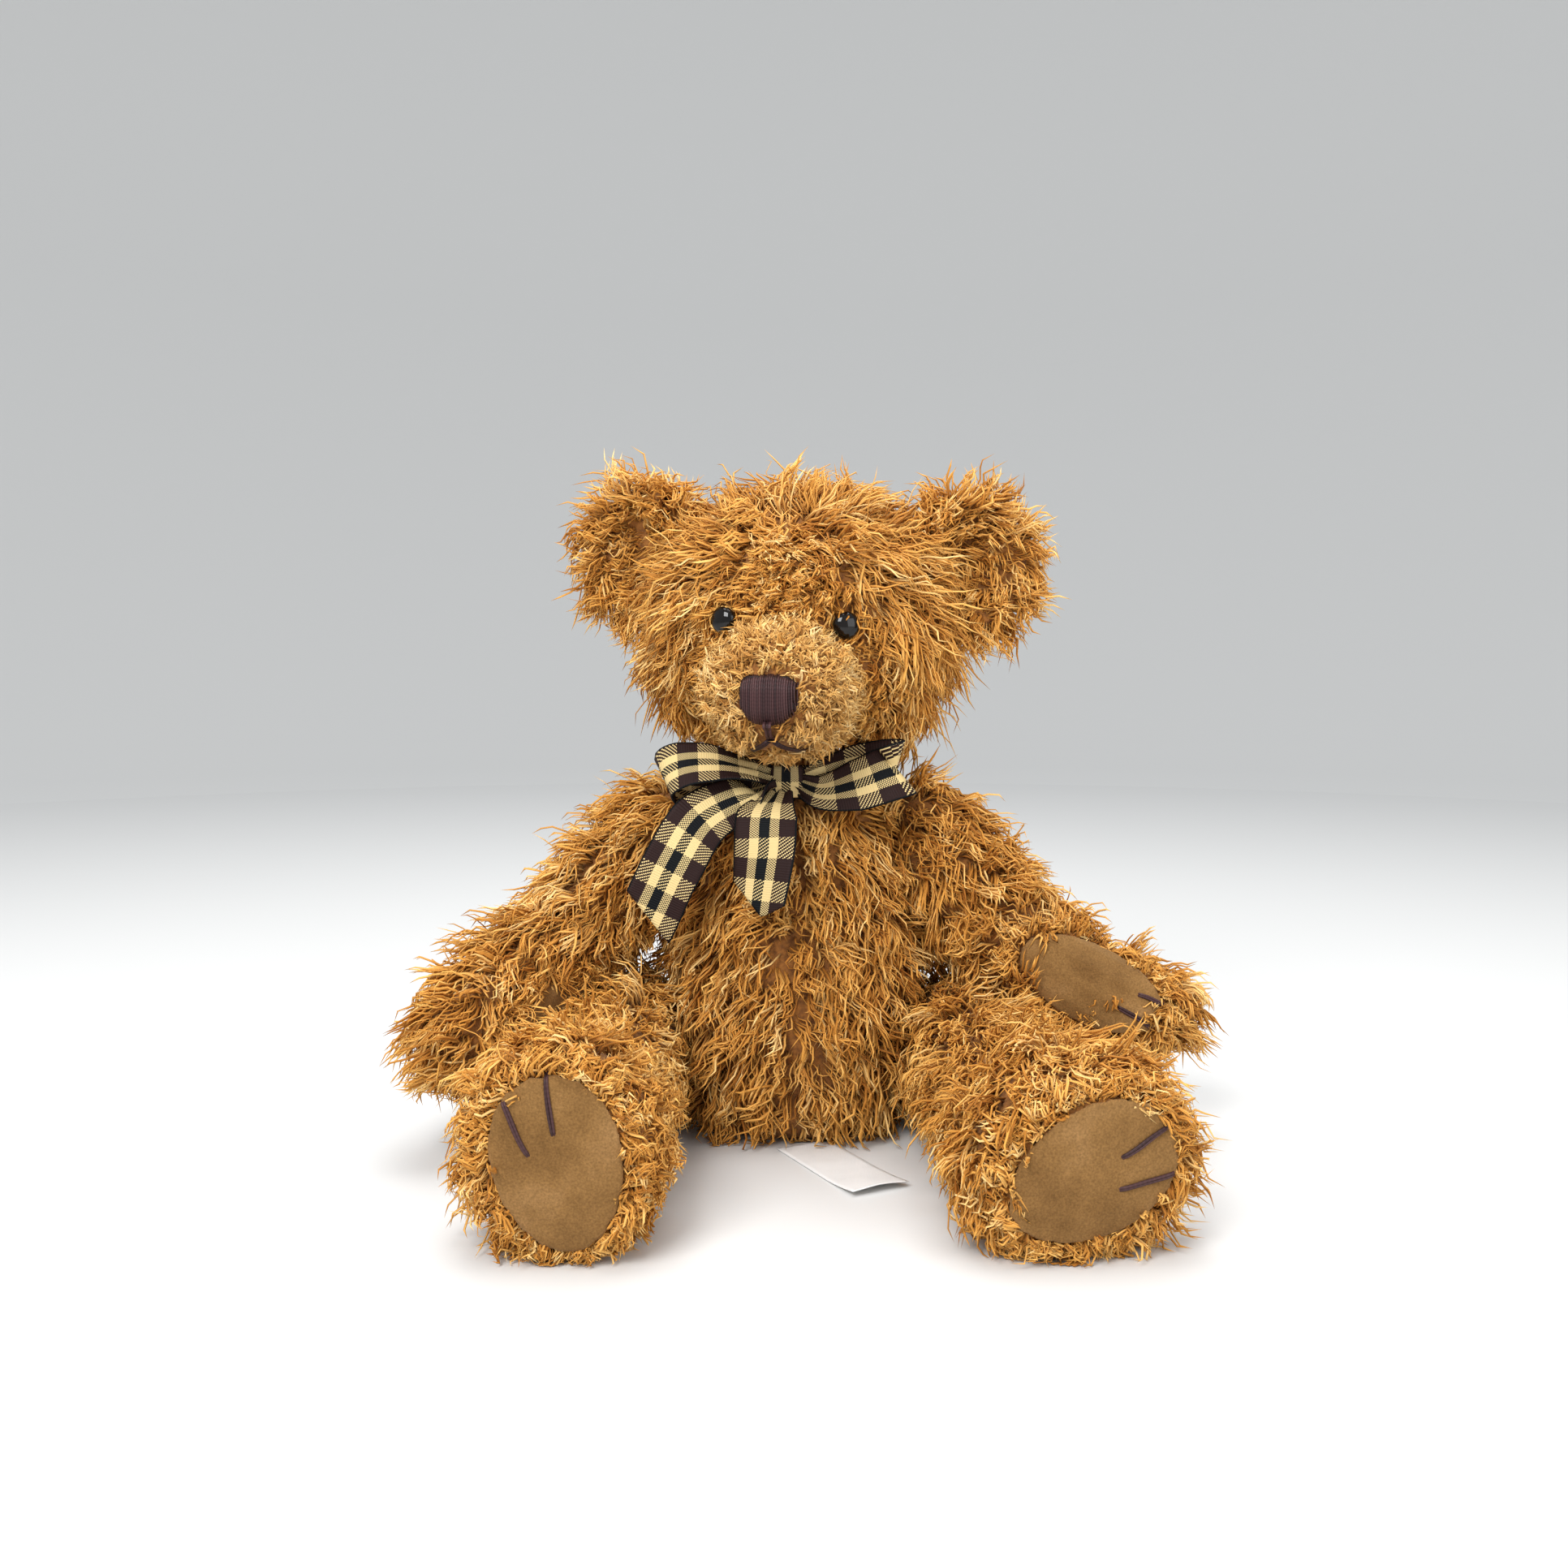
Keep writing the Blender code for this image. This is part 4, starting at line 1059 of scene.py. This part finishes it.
def claws(word, limb, pad, form, material):
    """The claw stitches of one paw or foot, in two strands each, from the pile's edge on to the pad."""
    rng = np.random.default_rng(SEED)
    surfaces = surface_of(pad, form)
    kind = "paw" if limb == "arm" else "foot"
    joint = "_shoulder_turn" if limb == "arm" else "_hip_turn"
    region = Region(word + joint, f"{word}_{kind}_pad", f"{word}_{limb}_skin")
    for number in (1, 2):
        node = f"{word}_{kind}_claw_stitch_{number}"
        points = node_points(node)
        middle = points.mean(axis=0)
        way = np.linalg.svd(points - middle)[2][0]
        if way @ (middle - region.pad) < 0:
            way = -way
        reach = ((points - middle) @ way).max()
        lines = stitch(
            surfaces,
            middle + way * (reach + CLAW_OVERRUN),
            middle - way * reach,
            region.pad_normal,
            CLAW_RISE,
            2,
            CLAW_THREAD * 1.5,
            rng,
        )
        made = threads(node + "_thread", lines, CLAW_THREAD, material, f"{word}_{limb}", rng)
        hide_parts(node)


def nose_and_mouth(muzzle_form, material):
    """Satin stitches over a padded nose, and the mouth: a stem and two arms. Gives the mouth's points."""
    rng = np.random.default_rng(SEED)
    base = stuffed_form("nose_base", ["nose_embroidery"], PAD_VOXEL, 4, stuffed=False)
    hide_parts("nose_embroidery")
    finish(base, material, "head")
    points = node_points("nose_embroidery")
    middle = middle_of("nose_embroidery")
    aim = np.linalg.svd(points - points.mean(axis=0))[2][2]
    aim = aim if aim[1] < 0 else -aim
    up = unit(tangent(-DOWN, aim))
    right = np.cross(up, -aim)
    sideways, upright = (points - middle) @ right, (points - middle) @ up
    half_width = (sideways.max() - sideways.min()) / 2
    low, high = upright.min(), upright.max()
    surfaces = surface_of(base, muzzle_form)
    share = np.linspace(0, 1, STITCH_RINGS + 1)[:, None]
    lines = []
    for across in np.linspace(-1, 1, NOSE_THREADS):
        corner = abs(across) ** 3
        top = high - (high - low) * 0.16 * corner + rng.uniform(-0.0003, 0.0003)
        foot = low + (high - low) * 0.30 * corner + rng.uniform(-0.0003, 0.0003)
        column = middle + right * across * half_width + up * (top + (foot - top) * share)
        line = laid(surfaces, column, aim)
        rise = NOSE_RISE * (1 - 0.75 * abs(across) ** 4) * (1 - np.abs(2 * share - 1) ** 3.5)
        dive = STITCH_DIVE * np.abs(2 * share - 1) ** 12
        lines.append(line + aim * (rise - dive))
    threads("nose_threads", lines, NOSE_THREAD, material, "head", rng)
    mouth = node_points("mouth_stitch") - middle
    top, foot = (mouth @ up).max(), (mouth @ up).min()
    wide = np.abs(mouth @ right).max()
    fork = top - (top - foot) * 0.40
    corners = [(0, top + 0.003), (0, fork), (-wide, foot - 0.0012), (wide, foot - 0.0012)]
    places = [middle + right * x + up * z for x, z in corners]
    lines = []
    for start, end, strands in ((0, 1, 3), (1, 2, 2), (1, 3, 2)):
        spread = MOUTH_THREAD * 1.4
        lines += stitch(surfaces, places[start], places[end], aim, MOUTH_RISE, strands, spread, rng)
    made = threads("mouth_threads", lines, MOUTH_THREAD, material, "head", rng)
    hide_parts("mouth_stitch")
    return np.concatenate(lines)


STITCH_REACH, STITCH_RINGS, STITCH_DIVE, THREAD_SIDES = 0.02, 14, 0.0022, 6
NOSE_THREADS, NOSE_THREAD, NOSE_RISE = 27, 0.00044, 0.0030
MOUTH_THREAD, MOUTH_RISE = 0.00056, 0.0054
CLAW_THREAD, CLAW_RISE, CLAW_OVERRUN = 0.00050, 0.0005, 0.003


# ---------------------------------------------------------------- ribbon and label


def ribbon_strip(name, line, turns, widths, cut):
    """A strip of ribbon along a smooth line. At each control point turns gives which way its width lies and
    widths how much of it is not gathered; cut gives how far its end runs on at places across it."""
    line, turns = np.array(line, float), unit(turns)
    steps = np.linspace(0, len(line) - 1, RIBBON_STEPS + 1)
    centre = spline(line, steps)
    width_way = unit(spline(turns, steps))
    width = RIBBON_WIDTH * np.interp(steps, range(len(line)), widths)
    heading = unit(np.gradient(centre, axis=0))
    width_way = unit(tangent(width_way, heading))
    run = np.concatenate([[0], np.cumsum(np.linalg.norm(np.diff(centre, axis=0), axis=1))])
    bm = bmesh.new()
    bmesh.ops.create_grid(bm, x_segments=RIBBON_STEPS, y_segments=RIBBON_ACROSS, size=0.5, calc_uvs=True)
    uv = bm.loops.layers.uv.verify()
    for vert in bm.verts:
        across = vert.co.y
        level = int(round((vert.co.x + 0.5) * RIBBON_STEPS))
        extra = np.interp(across, *zip(*cut)) * (level / RIBBON_STEPS) ** 2
        gathers = RIBBON_GATHER * (1 - width[level] / RIBBON_WIDTH) * math.sin(across * 19)
        upward = np.cross(heading[level], width_way[level])
        place = centre[level] + width_way[level] * across * width[level]
        place = place + heading[level] * extra + upward * gathers
        for loop in vert.link_loops:
            loop[uv].uv = (across + 0.5, run[level] + extra)
        vert.co = Vector(place)
    obj = new_object(name, bm)
    obj.data.uv_layers[0].name = RIBBON_MAP
    solid = obj.modifiers.new("Solidify", "SOLIDIFY")
    solid.thickness = RIBBON_THICKNESS
    solid.offset = 0
    return obj, float(run[-1])


RIBBON_GATHER = 0.0016
RIBBON_STEPS, RIBBON_ACROSS = 48, 12


def spline(points, steps):
    """Catmull-Rom through the points, at the given places between 0 and their number less one."""
    padded = np.vstack([2 * points[0] - points[1], points, 2 * points[-1] - points[-2]])
    base = np.clip(np.floor(steps).astype(int), 0, len(points) - 2)
    t = (steps - base)[:, None]
    a, b, c, d = (padded[base + offset] for offset in range(4))
    return 0.5 * (2 * b + (c - a) * t + (2 * a - 5 * b + 4 * c - d) * t**2 + (3 * b - a - 3 * c + d) * t**3)


def loop_line(way, lean, points):
    """A loop's middle line from points given as (distance out, height along its bulge, forward, up)."""
    bulge = np.array((0.0, lean[2], -lean[1]))
    return [np.array((way * out, forward, up)) + bulge * high for out, high, forward, up in points]


LOOPS = {
    "ribbon_right_loop": (
        -1,
        (0.36, -0.72, -0.60),
        [(0.004, 0.001, -0.001, 0.001), (0.014, 0.0055, -0.002, 0.001), (0.027, 0.0090, -0.003, 0.001),
         (0.039, 0.0075, -0.004, 0.001), (0.0450, 0.001, -0.004, 0.001), (0.038, -0.0065, -0.004, 0.000),
         (0.026, -0.0080, -0.003, 0.000), (0.013, -0.0055, -0.002, -0.001), (0.004, -0.001, -0.001, -0.001)],
    ),
    "ribbon_left_loop": (
        +1,
        (0.33, -0.50, -0.80),
        [(0.004, 0.001, -0.001, -0.001), (0.013, 0.0030, -0.003, -0.005), (0.025, 0.0040, -0.004, -0.003),
         (0.035, 0.0034, -0.005, 0.001), (0.0405, 0.000, -0.005, 0.0045), (0.036, -0.0030, -0.004, 0.007),
         (0.025, -0.0035, -0.003, 0.006), (0.013, -0.0025, -0.002, 0.003), (0.004, -0.001, -0.001, 0.000)],
    ),
}
LOOP_WIDTHS = (0.30, 0.62, 0.92, 1, 1, 1, 0.92, 0.62, 0.30)
TAILS = {
    "ribbon_right_tail": (
        [(-0.004, -0.005, -0.003), (-0.018, -0.010, -0.006), (-0.031, -0.016, -0.013),
         (-0.040, -0.021, -0.027), (-0.0473, -0.0225, -0.042)],
        [(0.6, -0.2, 0.8), (0.7, -0.2, -0.5), (0.85, -0.1, -0.5), (0.88, -0.05, -0.47), (0.88, 0.0, -0.47)],
        (0.45, 0.85, 1, 1, 1),
        [(-0.5, 0.0), (0.5, 0.0107)],
    ),
    "ribbon_left_tail": (
        [(-0.003, -0.008, -0.003), (-0.007, -0.018, -0.010), (-0.008, -0.024, -0.022),
         (-0.0095, -0.0265, -0.034)],
        [(1, -0.1, 0.2), (1, -0.1, 0.1), (0.95, -0.35, 0.05), (0.82, -0.57, 0.0)],
        (0.5, 1.02, 1.06, 1.06),
        [(-0.5, 0.0), (0.1, 0.012), (0.5, 0.007)],
    ),
}


def ribbon(material):
    knot = middle_of("ribbon_knot")
    strips = {name: (line, turns, widths, cut) for name, (line, turns, widths, cut) in TAILS.items()}
    for name, (way, lean, points) in LOOPS.items():
        turns = np.array([lean] * len(points))
        turns[[0, -1]] = (0, -0.25, -1)
        strips[name] = (loop_line(way, lean, points), turns, LOOP_WIDTHS, [(-0.5, 0.0), (0.5, 0.0)])
    made = []
    for name, (line, turns, widths, cut) in strips.items():
        obj, long = ribbon_strip(name + "_cloth", knot + np.array(line), turns, widths, cut)
        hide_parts(name)
        finish(obj, material, "torso")
        made.append(obj)
    made.append(knot_wrap(knot, material))
    band(material)
    return made


def knot_wrap(knot, material):
    low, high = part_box("ribbon_knot")
    bm = bmesh.new()
    bmesh.ops.create_cube(bm, size=1, calc_uvs=True)
    bmesh.ops.subdivide_edges(bm, edges=bm.edges[:], cuts=6, use_grid_fill=True)
    uv = bm.loops.layers.uv.verify()
    for face in bm.faces:
        for loop in face.loops:
            loop[uv].uv = (0.5 + loop.vert.co.x * 0.6, loop.vert.co.z * 0.014)
    size = high - low
    for vert in bm.verts:
        round_off = 1 - 0.22 * (abs(vert.co.x) ** 2 + abs(vert.co.z) ** 2 + abs(vert.co.y) ** 2)
        pinch = 1 + 0.05 * math.sin(vert.co.x * 22)
        full = Vector((vert.co.x * size.x, vert.co.y * size.y * pinch, vert.co.z * size.z))
        vert.co = full * round_off
    bmesh.ops.translate(bm, vec=Vector(knot), verts=bm.verts)
    obj = new_object("ribbon_knot_wrap", bm)
    obj.data.uv_layers[0].name = RIBBON_MAP
    smooth = obj.modifiers.new("Subdivision", "SUBSURF")
    smooth.levels = smooth.render_levels = 1
    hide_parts("ribbon_knot")
    finish(obj, material, "torso")
    return obj


def band(material):
    """The ribbon's stretch round the neck, pleated by the tie."""
    low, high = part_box("ribbon_neck_band")
    middle = (low + high) / 2
    radius = (high.x - low.x) / 2
    bm = bmesh.new()
    made = bmesh.ops.create_circle(bm, segments=72, radius=radius)
    bmesh.ops.translate(bm, vec=(middle.x, middle.y, low.z), verts=made["verts"])
    edges = bm.edges[:]
    rows = 6
    uv = bm.loops.layers.uv.verify()
    for _ in range(rows):
        ring = bmesh.ops.extrude_edge_only(bm, edges=edges)["geom"]
        edges = [part for part in ring if isinstance(part, bmesh.types.BMEdge)]
        verts = [part for part in ring if isinstance(part, bmesh.types.BMVert)]
        bmesh.ops.translate(bm, vec=(0, 0, (high.z - low.z) / rows), verts=verts)
    for face in bm.faces:
        for loop in face.loops:
            turn = math.atan2(loop.vert.co.y - middle.y, loop.vert.co.x - middle.x)
            loop[uv].uv = ((loop.vert.co.z - low.z) / (high.z - low.z), (turn + math.pi) * radius)
    for vert in bm.verts:
        share = (vert.co.z - low.z) / (high.z - low.z)
        turn = math.atan2(vert.co.y - middle.y, vert.co.x - middle.x)
        shrink = 1 - 0.20 * share - 0.018 * math.sin(9 * turn + 4 * share)
        vert.co.x = middle.x + (vert.co.x - middle.x) * shrink
        vert.co.y = middle.y + (vert.co.y - middle.y) * shrink
    bmesh.ops.recalc_face_normals(bm, faces=bm.faces)
    obj = new_object("ribbon_neck_band_cloth", bm)
    obj.data.uv_layers[0].name = RIBBON_MAP
    solid = obj.modifiers.new("Solidify", "SOLIDIFY")
    solid.thickness = RIBBON_THICKNESS
    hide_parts("ribbon_neck_band")
    finish(obj, material, "torso")
    return obj


LABEL_REST, LABEL_CURL, LABEL_THICKNESS = 0.0005, 0.0042, 0.0003


def blank_label(material):
    """A blank satin tape that lies on the floor and curls up a little at its free end."""
    points = node_points("blank_label")
    middle = points.mean(axis=0)
    flat_points = (points - middle)[:, :2]
    along = np.linalg.svd(flat_points)[2][0]
    along = along if along[1] < 0 else -along
    across = np.array((-along[1], along[0]))
    long = np.ptp(flat_points @ along)
    wide = np.ptp(flat_points @ across)
    bm = bmesh.new()
    bmesh.ops.create_grid(bm, x_segments=40, y_segments=12, size=0.5)
    for vert in bm.verts:
        share, side = vert.co.x, vert.co.y
        ripple = 0.0006 * math.sin(side * 5 + share * 3) * max(0, share + 0.3)
        rise = LABEL_REST + LABEL_CURL * max(0, share) ** 2 * 2 + ripple
        place = middle[:2] + along * share * long * 0.985 + across * side * wide
        vert.co = Vector((place[0], place[1], max(rise, LABEL_REST)))
    bmesh.ops.recalc_face_normals(bm, faces=bm.faces)
    obj = new_object("blank_label_tape", bm)
    solid = obj.modifiers.new("Solidify", "SOLIDIFY")
    solid.thickness = LABEL_THICKNESS
    solid.offset = 0
    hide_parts("blank_label")
    finish(obj, material, "torso")


# ---------------------------------------------------------------- studio


def turned(name, profile, material):
    """A surface turned round the upright axis from a profile of (distance out, height)."""
    bm = bmesh.new()
    verts = [bm.verts.new((out, 0, height)) for out, height in profile]
    edges = [bm.edges.new(pair) for pair in zip(verts, verts[1:])]
    bmesh.ops.spin(
        bm,
        geom=verts + edges,
        axis=(0, 0, 1),
        cent=(0, 0, 0),
        angle=2 * math.pi,
        steps=STAGE_TURNS,
        use_merge=True,
    )
    bmesh.ops.remove_doubles(bm, verts=bm.verts, dist=1e-5)
    obj = new_object(name, bm)
    obj.data.materials.append(material)
    obj.data.shade_smooth()
    return obj


STAGE_FLAT, STAGE_BEND, STAGE_WALL, STAGE_TURNS, STAGE_BENDS = 1.6, 1.2, 5.0, 96, 12


def studio():
    floor_material, _, shader = blank_material("pale floor", 0.6)
    shader.inputs["Base Color"].default_value = (0.72, 0.72, 0.71, 1)
    turned("floor", [(0, 0), (STAGE_FLAT, 0)], floor_material)
    curve = []
    for step in range(STAGE_BENDS + 1):
        angle = step / STAGE_BENDS * math.pi / 2
        curve.append((STAGE_FLAT + STAGE_BEND * math.sin(angle), STAGE_BEND * (1 - math.cos(angle))))
    wall = turned("wall", curve + [(curve[-1][0], STAGE_WALL)], floor_material)
    wall.visible_diffuse = wall.visible_glossy = wall.visible_shadow = False
    world = bpy.context.scene.world or bpy.data.worlds.new("studio")
    bpy.context.scene.world = world
    world.use_nodes = True
    background = world.node_tree.nodes["Background"]
    background.inputs["Color"].default_value = (0.80, 0.82, 0.84, 1)
    background.inputs["Strength"].default_value = 0.74
    lights = {
        "key": ((-0.45, -0.95, 0.95), 0.6, 16),
        "fill": ((0.9, -0.8, 0.5), 0.9, 6),
        "top": ((0.0, 0.15, 1.2), 0.9, 10),
    }
    for name, (place, size, power) in lights.items():
        lamp = bpy.data.lights.new(name, "AREA")
        lamp.shape = "SQUARE"
        lamp.size = size
        lamp.energy = power
        obj = bpy.data.objects.new(name, lamp)
        obj.location = place
        obj.rotation_euler = (Vector((0, 0, 0.12)) - Vector(place)).to_track_quat("-Z", "Y").to_euler()
        bpy.context.scene.collection.objects.link(obj)
    bpy.context.scene.view_settings.view_transform = "Standard"
    camera = bpy.data.cameras.new("camera")
    camera.lens = CAMERA_LENS
    camera.clip_start = 0.01
    obj = bpy.data.objects.new("camera", camera)
    obj.location = CAMERA_PLACE
    obj.rotation_euler = (CAMERA_PITCH, 0, 0)
    bpy.context.scene.collection.objects.link(obj)
    bpy.context.scene.camera = obj


build()
studio()
